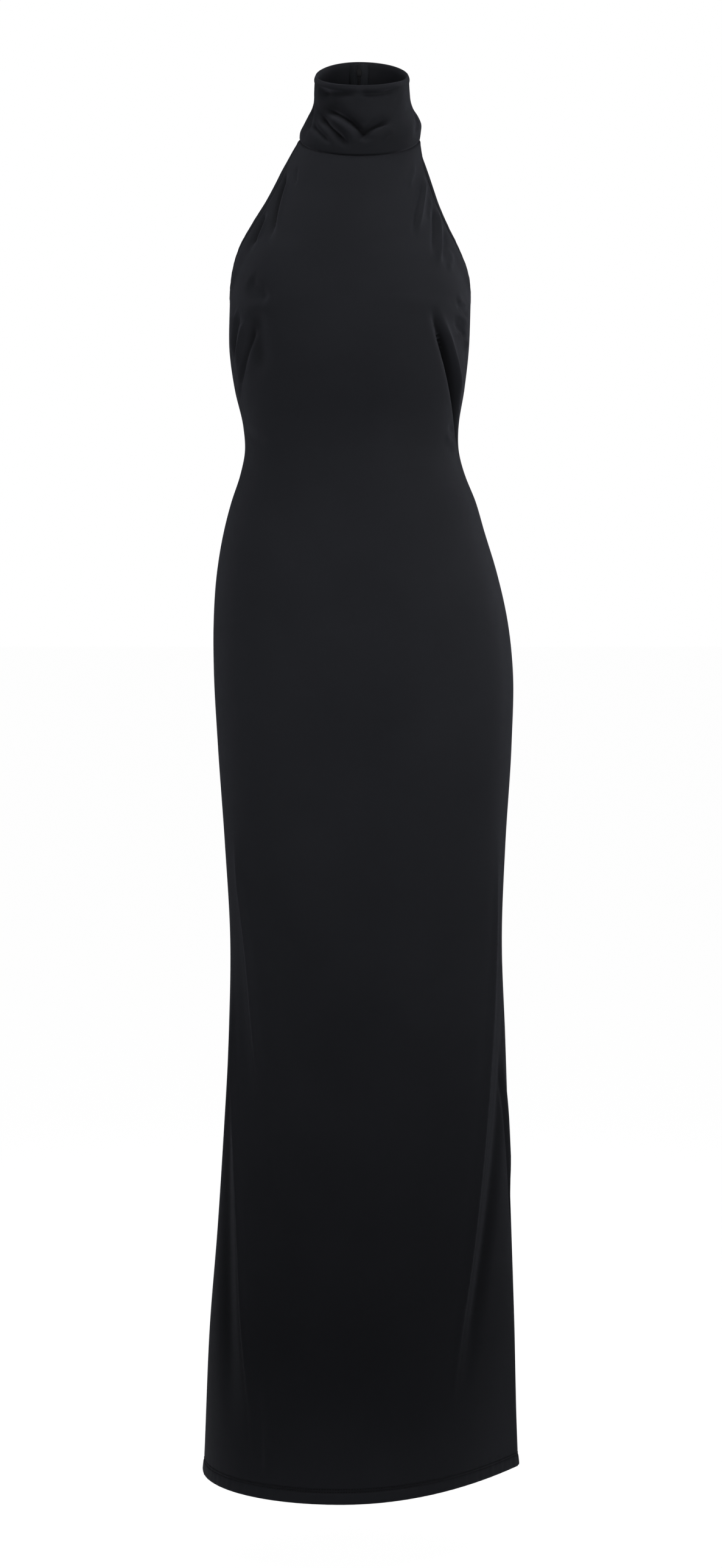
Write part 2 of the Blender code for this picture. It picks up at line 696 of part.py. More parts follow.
def pull_frame(frame):
    """The pull tab's frame: its origin is on the hinge and y runs down the hanging tab."""
    pivot_y = BRIDGE_LENGTH / 2 - BRIDGE_WALL - PIN_CLEAR - PIN_RADIUS
    pivot_z = PLATE_GAP + PLATE_WALL + PIN_CLEAR + PIN_RADIUS
    pivot = frame @ Vector((0, pivot_y * MM, pivot_z * MM))
    reach = (SLIDER_SHARE * COLLAR_HEIGHT - pivot_y - TAB_LENGTH) / COLLAR_HEIGHT
    foot = collar_row(reach, False)
    rest = Vector((foot.mid_x, foot.mid_y, foot.mid_z)) * MM
    rest += frame.col[2].xyz * (TAB_REST_GAP + TAB_WALL / 2) * MM
    down = rest - pivot
    down.x = 0
    down.normalize()
    across = Vector((1, 0, 0))
    turned = Matrix((across, down, across.cross(down))).transposed().to_4x4()
    turned.translation = pivot
    return turned


def make_pull(frame, material):
    """The pull tab: a flat tab with an eye round the bridge, hinged on the bar at its top."""
    centre = (EYE_LENGTH + PIN_RADIUS) / 2
    half_length = (EYE_LENGTH - PIN_RADIUS) / 2
    right = [(wide, y) for y, wide in TAB_OUTLINE]
    left = [(-wide, y) for y, wide in reversed(TAB_OUTLINE)]
    sections = []
    for x, y in right + left:
        turn = math.atan2(y - centre, x)
        across = abs(math.cos(turn)) / (EYE_WIDTH / 2)
        down = abs(math.sin(turn)) / half_length
        reach = (across**EYE_SQUARE + down**EYE_SQUARE) ** (-1 / EYE_SQUARE)
        eye_x = reach * math.cos(turn)
        eye_y = centre + reach * math.sin(turn)
        face = TAB_WALL / 2
        sections.append(((x, y, face), (x, y, -face), (eye_x, eye_y, -face), (eye_x, eye_y, face)))
    points = np.array(sections).reshape(-1, 3) * MM
    count = len(sections)
    faces = []
    for k in range(count):
        for s in range(4):
            turned = (s + 1) % 4
            after = (k + 1) % count
            faces.append((4 * k + s, 4 * k + turned, 4 * after + turned, 4 * after + s))
    mesh = bpy.data.meshes.new("zip_pull")
    mesh.from_pydata(points.tolist(), [], faces)
    pull = finished("zip_pull", mesh, material)
    pull.matrix_world = frame
    return pull


def main():
    """Clears the scene and makes every piece."""
    for item in list(bpy.data.objects):
        bpy.data.objects.remove(item)
    jersey = make_material("jersey", (0.013, 0.014, 0.017), 0.72)
    woven = make_material("zip_tape", (0.016, 0.016, 0.019), 0.8)
    metal = make_material("zip_metal", (0.018, 0.018, 0.02), 0.35, 0.6)
    cloth = make_cloth()
    for name in ("front", "back_left", "back_right"):
        for part, piece in zip(("bodice", "skirt"), divided(cloth[name])):
            solid(f"{name}_{part}", walled(piece.points, piece.normals, piece.wall), jersey)
    collar = cloth["collar"]
    solid("collar", walled(collar.points, collar.normals, collar.wall, COLLAR_LIP), jersey)
    tape("zip_tape_left", collar, cloth["back_left"], woven)
    tape("zip_tape_right", mirrored(collar), mirrored(cloth["back_right"]), woven)
    frame = zip_frame()
    make_slider(frame, metal)
    make_pull(pull_frame(frame), metal)
    bpy.context.view_layer.update()


if __name__ == "__main__":
    main()
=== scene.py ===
"""A halter-neck maxi dress in black stretch jersey: its cloth, its sewing and its zip.

Frame: +Z up, the front faces -Y, and +X is the viewer's right when looking at the front. The
origin is the middle of the neck seam. Tables are in millimetres, and the meshes in metres.
"""

import logging
import math
from dataclasses import dataclass, field
from enum import Enum
from typing import NamedTuple

import bmesh
import bpy
import numpy as np
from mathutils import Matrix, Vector


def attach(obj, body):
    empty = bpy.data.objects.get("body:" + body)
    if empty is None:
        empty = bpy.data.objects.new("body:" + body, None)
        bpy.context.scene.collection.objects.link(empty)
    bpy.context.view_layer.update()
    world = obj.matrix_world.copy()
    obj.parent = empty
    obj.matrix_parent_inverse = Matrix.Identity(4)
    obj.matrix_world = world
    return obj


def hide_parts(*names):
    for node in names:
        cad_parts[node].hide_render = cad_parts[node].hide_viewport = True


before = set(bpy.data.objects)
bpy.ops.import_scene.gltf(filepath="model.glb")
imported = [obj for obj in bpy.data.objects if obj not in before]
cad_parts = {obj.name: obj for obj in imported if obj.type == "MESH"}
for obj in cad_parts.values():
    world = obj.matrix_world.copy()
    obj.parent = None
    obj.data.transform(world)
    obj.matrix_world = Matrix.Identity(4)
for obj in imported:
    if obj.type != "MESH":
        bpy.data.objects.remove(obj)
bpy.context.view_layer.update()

LOG = logging.getLogger("maxi_dress")
MM = 0.001  # metres in a millimetre
CLOTH_UV = "cloth"  # the UV map of places on the flat cloth
PAINTED_LIGHT_AND_WEAR_ATTRIBUTE = "painted_light_and_wear"  # the attribute of painted light and wear: lighter above 0, and a deeper black below it
OUT = "out"  # the attribute of a path's outward direction


class Body(Enum):
    """The rigid bodies that the pieces ride on."""

    DRESS = "dress"
    PULL = "pull_tab"


class Half(Enum):
    """The two halves of the back, seen by someone who looks at the front."""

    LEFT = -1
    RIGHT = 1


# --------------------------------------------------------------------------- the dress's form


class Row(NamedTuple):
    """A line across a panel, from its left edge over its middle to its right edge.

    A fall of 1 makes that half a quarter ellipse in plan; less is squarer, and 2 is a parabola.
    """

    mid_z: float
    side_z: float
    mid_x: float
    mid_y: float
    left_x: float
    left_y: float
    left_fall: float
    right_x: float
    right_y: float
    right_fall: float


class Ring(NamedTuple):
    """A level section of the dress below the underarm, with falls like those of a row."""

    z: float
    left_x: float
    right_x: float
    left_y: float
    right_y: float
    front_x: float
    front_y: float
    back_y: float
    left_fall: float
    right_fall: float
    back_fall: float


class CollarRing(NamedTuple):
    """A ring of the collar, at a share of the way from the neck seam to the top edge."""

    share: float
    left_x: float
    right_x: float
    front_y: float
    side_y: float
    back_y: float


class Fold(NamedTuple):
    """A soft ridge, or a trough with a depth below 0, that bends through three places.

    Out is measured along the cloth from the panel's middle line, and z at that line's height.
    A lean above 0 makes a fold that runs down steeper on its right, seen from outside.
    """

    out_a: float
    z_a: float
    out_b: float
    z_b: float
    out_c: float
    z_c: float
    width: float
    depth: float
    lean: float = 0.0


NECK_FRONT_Z = -20.0  # the neck seam at the centre front
NECK_SIDE_Z = 7.0  # at the sides
NECK_BACK_Z = 22.0  # and at the centre back
UNDERARM_Z = -168.0
BODICE_END_Z = -410.0  # the grid's rows stand further apart below it
HEM_Z = -1445.0
ZIP_END_Z = -430.0
SEAM_GAP = 0.3  # between two pieces that are sewn together
SEAM_REACH = 4.0  # how far from the neck seam the cloth's normals are levelled
CLOSED_GAP = 0.3  # between the two edges at the centre back
SLIDER_GAP = 1.6  # between them beside the slider
SLIDER_REACH = 3.2  # how far above and below the slider they close again
SLIDER_SHARE = 0.86  # of the collar's height, where the slider is
EDGE_COLUMNS = ("side_z", "left_x", "left_y", "right_x", "right_y")  # of a row, which shape its ends

RINGS = (
    #     z    left   right  l_y r_y  f_x front back  l_fall r_fall b_fall
    Ring(-168, -140.5, 117.5, 0, 0, -11, -127.5, 106, 0.80, 0.80, 0.90),
    Ring(-220, -141.0, 115.5, -3, -4, -12, -123, 93, 0.82, 0.82, 0.90),
    Ring(-260, -135.5, 111.0, -5, -6, -12, -111, 81, 0.88, 0.88, 0.92),
    Ring(-300, -126.5, 105.0, -5, -6, -11, -95.5, 74, 0.95, 0.95, 0.95),
    Ring(-325, -125.0, 105.5, -4, -5, -10, -89, 74, 1.00, 1.00, 0.98),
    Ring(-350, -130.0, 112.0, -2, -3, -9, -88, 79, 1.00, 1.00, 0.98),
    Ring(-380, -140.0, 124.0, 0, 0, -8, -90, 90, 0.95, 0.95, 0.95),
    Ring(-410, -148.0, 133.0, 3, 3, -7, -94, 101, 0.92, 0.92, 0.92),
    Ring(-455, -156.0, 147.0, 7, 7, -4, -98, 114, 0.90, 0.90, 0.90),
    Ring(-510, -160.0, 159.5, 10, 10, -1, -100, 123, 0.90, 0.90, 0.88),
    Ring(-560, -160.0, 165.0, 11, 11, 2, -100, 125, 0.90, 0.90, 0.88),
    Ring(-640, -156.0, 164.0, 10, 10, 4, -98, 118, 0.92, 0.92, 0.90),
    Ring(-750, -148.5, 157.5, 8, 8, 4, -95, 108, 0.95, 0.95, 0.92),
    Ring(-855, -143.0, 154.0, 7, 7, 5, -94, 104, 1.00, 1.00, 0.92),
    Ring(-960, -145.0, 158.0, 7, 8, 3, -96, 106, 1.00, 1.00, 0.92),
    Ring(-1070, -151.0, 162.0, 8, 10, 0, -100, 112, 1.00, 1.10, 0.92),
    Ring(-1175, -158.0, 166.0, 8, 13, -5, -104, 119, 1.00, 1.35, 0.92),
    Ring(-1285, -167.0, 170.0, 9, 16, -12, -109, 126, 1.00, 1.65, 0.94),
    Ring(-1395, -172.0, 173.0, 9, 19, -18, -113, 132, 1.00, 1.90, 0.96),
    Ring(-1445, -174.0, 175.0, 9, 20, -22, -115, 135, 1.00, 2.00, 0.98),
)
FRONT_YOKE = (
    #    mid_z side_z mid_x mid_y left_x l_y l_fall right_x r_y r_fall
    Row(-20, 7, -1, -62, -66, 0, 1.00, 63, 0, 1.00),
    Row(-36, -13, -2, -72, -76, -14, 1.35, 65.5, -14, 1.35),
    Row(-60, -39, -4, -86, -87.3, -31, 1.75, 72.4, -31, 1.75),
    Row(-82, -64, -7, -99, -100.3, -42, 1.85, 80.8, -42, 1.85),
    Row(-105, -90, -9, -111, -116.3, -46, 1.70, 91.9, -46, 1.70),
    Row(-127, -116, -11, -119.3, -130.2, -43.4, 1.42, 104.8, -43.4, 1.42),
    Row(-137.5, -131, -11, -122, -134.9, -40.4, 1.24, 111, -40.4, 1.24),
    Row(-147, -144, -11, -124.2, -137.6, -35.2, 1.08, 114.7, -35.2, 1.08),
    Row(-155.5, -155, -11, -125.9, -139.2, -27.3, 0.95, 116.3, -27.3, 0.95),
    Row(-161, -162.3, -11, -126.7, -140, -18.6, 0.88, 117, -18.6, 0.88),
    Row(-165, -166.7, -11, -127.2, -140.4, -9.1, 0.83, 117.4, -9.1, 0.83),
)
BACK_YOKE = (
    #   the same columns as the front's
    Row(22, 7, -2, 62, -66, 0, 1.00, 63, 0, 1.00),
    Row(6, -13, -2, 72, -74, 18, 1.35, 65, 18, 1.35),
    Row(-22, -39, -3, 85, -84, 38, 1.70, 70, 38, 1.70),
    Row(-50, -64, -5, 95, -95, 51, 1.80, 78, 51, 1.80),
    Row(-80, -90, -7, 102, -108, 55, 1.60, 87, 55, 1.60),
    Row(-109, -116, -9, 106, -121, 52.4, 1.37, 98, 52.4, 1.37),
    Row(-125, -131, -10, 107.4, -127.6, 48.5, 1.20, 104.4, 48.5, 1.20),
    Row(-139.5, -144, -11, 108, -132.6, 41.9, 1.06, 110, 41.9, 1.06),
    Row(-152, -155, -11.5, 107.5, -136.6, 32.5, 0.98, 113.6, 32.5, 0.98),
    Row(-159.5, -162.3, -11.8, 106.8, -138.9, 22.3, 0.94, 115.8, 22.3, 0.94),
    Row(-164.6, -166.7, -11.6, 106.3, -140.1, 11, 0.91, 117.1, 11, 0.91),
)
COLLAR_HEIGHT = 72.0
COLLAR_FRONT_TOP_Z = 51.0
COLLAR_SIDE_TOP_Z = 70.0
COLLAR_BACK_TOP_Z = 94.0
COLLAR_RINGS = (
    #      share left right front side back
    CollarRing(0.00, -66.0, 63.0, -62.0, 0, 62.0),
    CollarRing(0.12, -65.0, 64.0, -64.0, -2, 59.0),
    CollarRing(0.24, -61.0, 64.5, -65.5, -4, 55.0),
    CollarRing(0.36, -56.8, 61.2, -66.0, -6, 50.5),
    CollarRing(0.48, -52.6, 56.0, -65.5, -8, 46.0),
    CollarRing(0.60, -50.3, 53.2, -65.0, -10, 42.0),
    CollarRing(0.75, -50.0, 52.0, -64.5, -12, 38.5),
    CollarRing(0.90, -49.5, 51.3, -65.0, -14, 36.0),
    CollarRing(1.00, -49.0, 51.0, -65.0, -15, 35.0),
)

FRONT_FOLDS = (
    #    out z, out z, out z, width, depth
    Fold(-86, -105, -84, -150, -72, -195, 40, 2.4),  # fullness over the left of the bust
    Fold(66, -105, 70, -150, 66, -195, 40, 2.0),
    Fold(88, -176, 124, -250, 174, -372, 6.5, -9.5),  # deep fold from the right of the bust
    Fold(93, -176, 123, -228, 153, -290, 6, 3.2),
    Fold(-111, -190, -128, -228, -152, -285, 8, -1.6, -0.2),
    Fold(-132, -182, -142, -218, -156, -258, 8, 1.0),
    Fold(90, -48, 83, -76, 76, -112, 7, 2.0),  # strain lines from the right armhole
    Fold(107, -82, 104, -114, 97, -146, 7, 2.2),
    Fold(-97, -42, -97, -78, -94, -122, 6, -3.2),  # and from the left one
    Fold(-112, -84, -117, -105, -124, -130, 5, -2.8),
    Fold(167, -690, 145, -1000, 126, -1360, 17, 5.0, 0.35),  # edge of the skirt's front plane
    Fold(188, -880, 164, -1120, 138, -1360, 10, -4.0),
    Fold(-179, -850, -145, -1115, -109, -1405, 15, 4.8, -0.35),
    Fold(-200, -930, -170, -1150, -132, -1405, 13, -5.0),
    Fold(-160, -715, -138, -870, -108, -1080, 11, 3.0),
)
FRONT_CREASES = (
    Fold(99, -206, 128.5, -256, 172, -366, 4.6, -9.5, -0.3),  # bottom of the deep fold
    Fold(94, -182, 124, -227, 150, -274, 4, 2.9),
    Fold(133, -172, 150, -200, 168, -236, 6, 2.0),
    Fold(75, -36, 68, -47, 61, -60, 3, 1.3),
    Fold(92, -50, 82, -75, 71, -113, 3.0, 3.3),
    Fold(86, -56, 76, -82, 66, -112, 3, -2.0),
    Fold(99, -74, 95, -83, 90, -93, 2.6, 1.4),
    Fold(105, -82, 106, -108, 97, -144, 3.0, 3.1),
    Fold(100, -84, 98, -106, 91, -134, 3.0, -2.8),
    Fold(118, -106, 111, -121, 103, -138, 3.4, -2.0),
    Fold(126, -126, 120, -136, 113, -146, 3.4, 1.6),
    Fold(-97, -46, -97, -76, -94, -116, 2.6, -3.3),
    Fold(-91, -50, -90, -76, -87, -108, 3.2, 1.7),
    Fold(-114, -88, -117, -105, -124, -122, 2.6, -2.9),
    Fold(-107, -88, -110, -104, -116, -118, 3, 1.3),
    Fold(-79, -38, -77, -48, -75, -58, 2.6, -1.3),
    Fold(132, -167, 146, -170, 162, -175, 3.2, 2.0),  # crinkles below the right armhole
    Fold(130, -174, 146, -179, 168, -186, 3, -2.0),
    Fold(124, -187, 146, -191, 168, -204, 3.2, 1.9),
    Fold(122, -193, 137, -202, 152, -211, 3, -2.4),
    Fold(130, -204, 148, -211, 166, -220, 3, 1.8),
    Fold(150, -224, 164, -232, 178, -246, 3.4, -1.8),
    Fold(118, -300, 128, -307, 140, -315, 4, -1.6),
    Fold(112, -310, 124, -319, 138, -328, 5, 1.4),
    Fold(-112, -200, -125, -225, -150, -272, 3.6, -3.6, -0.3),  # pleats beside the left of the bust
    Fold(-124, -190, -134, -212, -148, -244, 3.4, 3.2),
    Fold(-134, -184, -145, -206, -155, -236, 3.2, -3.1),
    Fold(-143, -176, -153, -200, -163, -232, 3.4, 2.5),
    Fold(-156, -184, -163, -210, -170, -240, 3.4, -1.8),
    Fold(-140, -256, -150, -274, -158, -296, 4, -1.8),
    Fold(-118, -152, -106, -163, -88, -172, 9, -3.2),  # under the left of the bust
    Fold(-108, -176, -106, -212, -98, -258, 15, -5.0),
    Fold(-150, -300, -122, -312, -90, -318, 7, -1.1),  # slack at the waist
    Fold(146, -334, 120, -340, 88, -340, 7, -0.5),
    Fold(-96, -452, -40, -470, 30, -462, 20, 0.5),
    Fold(166, -720, 141, -1050, 125, -1372, 3.6, 3.2, 0.4),  # crisp edge of the skirt's front plane
    Fold(170, -970, 206, -1115, 232, -1235, 3.6, -3.0),  # beside the side seam
    Fold(179, -965, 215, -1110, 239, -1225, 3.8, 2.2),
    Fold(-176, -870, -143, -1110, -101, -1420, 3.6, 4.0, -0.4),
    Fold(-160, -735, -138, -865, -112, -1040, 4, 2.7, -0.3),
    Fold(-97, -1310, -88, -1370, -84, -1428, 4, 1.8),
    Fold(60, -1180, 52, -1290, 40, -1420, 14, 0.7),
    Fold(-40, -1120, -34, -1260, -26, -1425, 16, 0.6),
)
BACK_FOLDS = (
    Fold(-78, -70, -80, -105, -74, -145, 38, 4.0),  # over the shoulder blades
    Fold(74, -70, 76, -105, 70, -145, 38, 4.0),
    Fold(-84, -490, -86, -545, -78, -610, 62, 6.0),  # over the seat
    Fold(84, -490, 86, -545, 78, -610, 62, 6.0),
    Fold(-46, -292, -92, -318, -144, -332, 9, -4.4),  # slack at the small of the back
    Fold(54, -310, 96, -332, 142, -341, 9, -4.6),
    Fold(-62, -342, -104, -353, -146, -352, 8, -3.4),
    Fold(70, -352, 106, -364, 144, -366, 8, -2.6),
    Fold(-84, -374, -116, -380, -150, -374, 10, -2.0),
    Fold(-176, -860, -160, -1130, -132, -1400, 19, 4.5),
    Fold(170, -820, 152, -1110, 128, -1400, 21, 4.5),
    Fold(-104, -1010, -92, -1210, -82, -1420, 15, -3.5),
    Fold(96, -1040, 88, -1230, 70, -1420, 15, -3.5),
)
BACK_CREASES = (
    Fold(-82, -48, -85, -80, -84, -122, 4.4, 2.4),
    Fold(-92, -66, -95, -92, -93, -126, 3.6, -2.2),
    Fold(78, -46, 81, -76, 82, -110, 4.4, 2.2),
    Fold(90, -62, 93, -90, 92, -130, 3.8, -2.0),
    Fold(-112, -150, -134, -170, -158, -184, 5, 1.8),
    Fold(-118, -166, -138, -184, -158, -200, 5, -1.6),
    Fold(110, -158, 130, -176, 150, -190, 5, 1.7),
    Fold(-40, -300, -74, -309, -118, -312, 5.5, 1.9),
    Fold(44, -318, 78, -325, 116, -322, 5.5, 1.8),
    Fold(-60, -328, -90, -337, -128, -343, 5, 1.9),
    Fold(56, -340, 90, -350, 130, -354, 5, 1.6),
    Fold(30, -1000, 34, -1200, 26, -1420, 20, 1.2),
    Fold(-36, -940, -44, -1180, -34, -1420, 20, 1.2),
    Fold(-66, -660, -70, -720, -60, -790, 18, -1.2),
    Fold(64, -650, 72, -715, 62, -780, 18, -1.2),
)
# On the collar z is the height above the neck seam, and out is from the centre front or back.
COLLAR_FRONT_FOLDS = (
    Fold(-58, 43, -16, 38.5, 8, 14, 6.5, -4.8, -0.2),
    Fold(1, 13, 13, 27.5, 40, 33, 6, -4.0),
    Fold(-66, 39, -35, 27.5, -8, 8, 6.5, -4.4, -0.2),
    Fold(-74, 23, -52, 20, -28, 8, 5, -3.2),
    Fold(90, 36, 83, 23, 66, 14, 6, -2.0),
)
COLLAR_BACK_FOLDS = (
    Fold(-66, 44, -46, 30, -26, 20, 7, -2.0),
    Fold(68, 40, 50, 27, 28, 19, 7, -2.0),
)
COLLAR_FRONT_CREASES = (
    Fold(-56, 43, -15, 38, 7, 15, 3.2, -4.7, 0.3),
    Fold(2, 14, 13, 28, 39, 33, 2.9, -4.2, -0.3),
    Fold(-46, 36, -18, 30, -2, 11, 5, 2.2),
    Fold(10, 17, 22, 25, 42, 26, 4, 1.5),
    Fold(-62, 37, -34, 26, -9, 8, 3.5, -4.4, 0.3),
    Fold(-63, 30, -43, 19, -25, 8, 4, 0.7),
    Fold(-73, 23, -52, 19, -29, 8, 3, -1.4),
    Fold(-86, 42, -80, 28, -68, 14, 8, -3.6),
    Fold(-80, 52, -68, 38, -58, 30, 6, 1.0),
    Fold(2, 14, 9, 16, 17, 20, 1.9, -0.8),
    Fold(18, 13, 28, 17, 36, 23, 2.0, -0.9),
    Fold(-6, 37, 9, 35, 27, 40, 2.6, -0.5),
    Fold(-60, 60, -28, 63, 2, 67, 4.6, -4.8),  # soft dips under the fold
    Fold(-4, 67, 18, 64, 52, 67, 4.0, -3.8),
    Fold(-60, 60, -38, 53, -14, 51, 8, -2.2),
    Fold(46, 60, 58, 50, 62, 38, 12, 0.8),
    Fold(90, 30, 84, 21, 72, 14, 3, -1.0),
)
COLLAR_BACK_CREASES = (
    Fold(-72, 50, -52, 38, -30, 30, 4, 1.9),
    Fold(74, 48, 54, 36, 32, 28, 4, 1.8),
    Fold(-58, 18, -42, 12, -24, 10, 4, -1.8),
    Fold(60, 16, 44, 11, 24, 9, 4, -1.6),
)


def through(knots: np.ndarray, values: np.ndarray, at: np.ndarray) -> np.ndarray:
    """A smooth curve through values at rising knots.

    Args:
        knots: Where the values hold, rising.
        values: The values there.
        at: Where to read the curve.

    Returns:
        The curve's values.
    """
    slopes = np.gradient(values, knots)
    i = np.clip(np.searchsorted(knots, at) - 1, 0, len(knots) - 2)
    step = knots[i + 1] - knots[i]
    t = np.clip((at - knots[i]) / step, 0, 1)
    from_start = values[i] * (1 + 2 * t) + slopes[i] * step * t
    from_end = values[i + 1] * (3 - 2 * t) + slopes[i + 1] * step * (t - 1)
    return from_start * (1 - t) ** 2 + from_end * t**2


def soft_step(value: np.ndarray | float) -> np.ndarray:
    """0 below 0, 1 above 1 and smooth between."""
    value = np.clip(value, 0, 1)
    return value * value * (3 - 2 * value)


class Fade(NamedTuple):
    """Where something starts to come in, and the distance over which it does, in millimetres."""

    start: float
    width: float

    def at(self, distance: np.ndarray) -> np.ndarray:
        """How far it has come in at a distance, from 0 to 1."""
        return soft_step((distance - self.start) / self.width)


def hump(distance: np.ndarray, width: float) -> np.ndarray:
    """A round hump, 1 at no distance and near 0 past twice its width."""
    return np.exp(-((distance / width) ** 2))


def table_columns(rows: tuple, names: tuple[str, ...]) -> dict[str, np.ndarray]:
    """The named columns of a table.

    Args:
        rows: The table's rows.
        names: The columns wanted.

    Returns:
        Each column as an array.
    """
    return {name: np.array([getattr(row, name) for row in rows], float) for name in names}


FOLD_STEPS = 28  # the straight steps of a fold's curve
FOLD_END = 0.3  # the share of a fold's length over which each end fades
FOLD_REACH = 3  # how many widths to either side a fold reaches


def fold_lift(folds: tuple[Fold, ...], out: np.ndarray, z: np.ndarray) -> np.ndarray:
    """How far folds lift the cloth.

    Args:
        folds: The folds.
        out: The places' distances out along the cloth.
        z: Their heights.

    Returns:
        The lift at each place, in millimetres.
    """
    lift = np.zeros(out.shape)
    t = np.linspace(0, 1, FOLD_STEPS + 1)
    shape = np.array([(1 - t) * (1 - 2 * t), 4 * t * (1 - t), t * (2 * t - 1)])
    for fold in folds:
        path_out = np.array([fold.out_a, fold.out_b, fold.out_c]) @ shape
        path_z = np.array([fold.z_a, fold.z_b, fold.z_c]) @ shape
        reach = FOLD_REACH * fold.width
        near = (out > path_out.min() - reach) & (out < path_out.max() + reach)
        near &= (z > path_z.min() - reach) & (z < path_z.max() + reach)
        if not near.any():
            continue
        here_out = out[near][:, None] - path_out[:-1]
        here_z = z[near][:, None] - path_z[:-1]
        step_out = np.diff(path_out)
        step_z = np.diff(path_z)
        length = step_out**2 + step_z**2
        share = np.clip((here_out * step_out + here_z * step_z) / length, 0, 1)
        off_out = here_out - share * step_out
        off_z = here_z - share * step_z
        away = np.hypot(off_out, off_z)
        nearest = away.argmin(axis=1)
        pick = (np.arange(len(nearest)), nearest)
        side = np.sign(step_out[nearest] * off_z[pick] - step_z[nearest] * off_out[pick])
        along = (nearest + share[pick]) / FOLD_STEPS
        fade = soft_step(along / FOLD_END) * soft_step((1 - along) / FOLD_END)
        width = fold.width * (1 - fold.lean * side)
        lift[near] += fold.depth * fade * hump(away[pick], width)
    return lift


@dataclass(frozen=True)
class PaintedLightAndWear:
    """Painted light and wear on the jersey: above 0 it is lighter, from wear on turned edges and from painted
    highlights, and below 0 a deeper black, with painted shade in folds, seams and stitches.
    """

    ridge_lift: float = 6.0  # painted highlight on a fold's ridge: millimetres of lift for a value of 1
    ridge_most: float = 0.5
    depth_start: float = 2.0  # painted shade in a fold: how deep it is, in millimetres, where its black deepens
    depth_reach: float = 8.0  # millimetres further down to a value of -1
    depth_most: float = 0.88
    edge: float = 0.5  # on a turned edge
    edge_width: float = 1.5
    hem: float = 0.7  # painted light on the hem band below its stitches
    hem_fade: float = 2.0
    collar_top: float = 0.7  # painted highlight along the collar's fold
    collar_top_width: float = 2.5
    collar: float = -0.14  # all over the doubled cloth
    neck_seam: float = 0.85  # painted shadow: how much deeper the panels' black is in the neck seam
    # painted shadow in the neck seam on the collar
    collar_seam: float = 0.8
    # painted shade in the hem's lines of stitches
    hem_stitches: float = 0.75
    seam_spread: float = 1.5  # how wide a seam's painted shadow is, in widths of a row of stitches

    def folded(self, lift: np.ndarray, plain: np.ndarray) -> np.ndarray:
        """The painted light and wear of folded cloth.

        Args:
            lift: How far the folds lift it, in millimetres.
            plain: Its painted light and wear without them.

        Returns:
            The value: higher with a painted highlight on a ridge, and below 0 with painted shade in the depth
                of a fold.
        """
        # painted highlight on a fold's ridge
        ridge = np.clip(lift / self.ridge_lift, 0, self.ridge_most)
        # painted shade in the depth of a fold
        depth = np.clip((-lift - self.depth_start) / self.depth_reach, 0, self.depth_most)
        return np.clip(plain + ridge, 0, 1) - depth


PAINTED_LIGHT_AND_WEAR = PaintedLightAndWear()


# --------------------------------------------------------------------------- cloth as grids


def normals_of(grid: np.ndarray) -> np.ndarray:
    """The outward normals of a grid whose rows run down and columns to the right, from outside."""
    normal = np.cross(np.gradient(grid, axis=0), np.gradient(grid, axis=1))
    return normal / np.linalg.norm(normal, axis=-1, keepdims=True)


def lengths_along(points: np.ndarray, axis: int) -> np.ndarray:
    """How far each point of a grid is along its row or column.

    Args:
        points: A grid of points.
        axis: 0 to measure down the columns, and 1 along the rows.

    Returns:
        The distances from each column's or row's first point.
    """
    steps = np.linalg.norm(np.diff(points, axis=axis), axis=-1)
    pad = [(0, 0), (0, 0)]
    pad[axis] = (1, 0)
    return np.pad(np.cumsum(steps, axis=axis), pad)


def along_line(line: np.ndarray) -> np.ndarray:
    """How far each point of a line is from its start."""
    return np.concatenate([[0], np.cumsum(np.linalg.norm(np.diff(line, axis=0), axis=1))])


def read_line(values: np.ndarray, along: np.ndarray, at: np.ndarray) -> np.ndarray:
    """A line's places or directions, read at distances from its start.

    Args:
        values: The place or direction at each point of the line.
        along: How far each point is from the start.
        at: The distances to read at.

    Returns:
        The places or directions there.
    """
    return np.column_stack([np.interp(at, along, column) for column in values.T])


@dataclass
class Skin:
    """A piece of cloth as a grid of places: rows run down and columns to the right, from outside."""

    points: np.ndarray
    out: np.ndarray
    down: np.ndarray
    normals: np.ndarray = field(init=False)

    def __post_init__(self) -> None:
        """Works out the outward normals."""
        self.normals = normals_of(self.points)

    def level_near(self, distance: np.ndarray) -> None:
        """Levels the outward normals near the neck seam, so that both sides of it stay closed.

        Args:
            distance: How far each point is from the seam, in millimetres.
        """
        across = np.gradient(self.points, axis=1)
        level = np.stack([across[..., 1], -across[..., 0], 0 * across[..., 2]], axis=-1)
        level /= np.linalg.norm(level, axis=-1, keepdims=True)
        self.normals += (level - self.normals) * hump(distance, SEAM_REACH)[..., None]
        self.normals /= np.linalg.norm(self.normals, axis=-1, keepdims=True)

    def lifted(self, lift: np.ndarray) -> np.ndarray:
        """The points moved out along their normals by a lift in millimetres."""
        return self.points + self.normals * lift[..., None]

    def flat_places(self) -> np.ndarray:
        """The points' places on the flat cloth, out and down."""
        return np.stack([self.out, self.down], axis=-1)

    def cut(self) -> tuple[float, float, float]:
        """The size of the flat cloth.

        Returns:
            Its width and length in metres, and its area in square metres.
        """
        rows = lengths_along(self.points, 1)[:, -1]
        columns = lengths_along(self.points, 0)[-1]
        middle = lengths_along(self.points, 0)[:, self.points.shape[1] // 2]
        area = float(np.trapz(rows, middle)) * columns.mean() / middle[-1]
        return float(rows.max()) * MM, float(columns.max()) * MM, area * MM * MM


class Rims(NamedTuple):
    """How far a shell's four edges round out beyond its faces, in millimetres."""

    top: float
    right: float
    bottom: float
    left: float


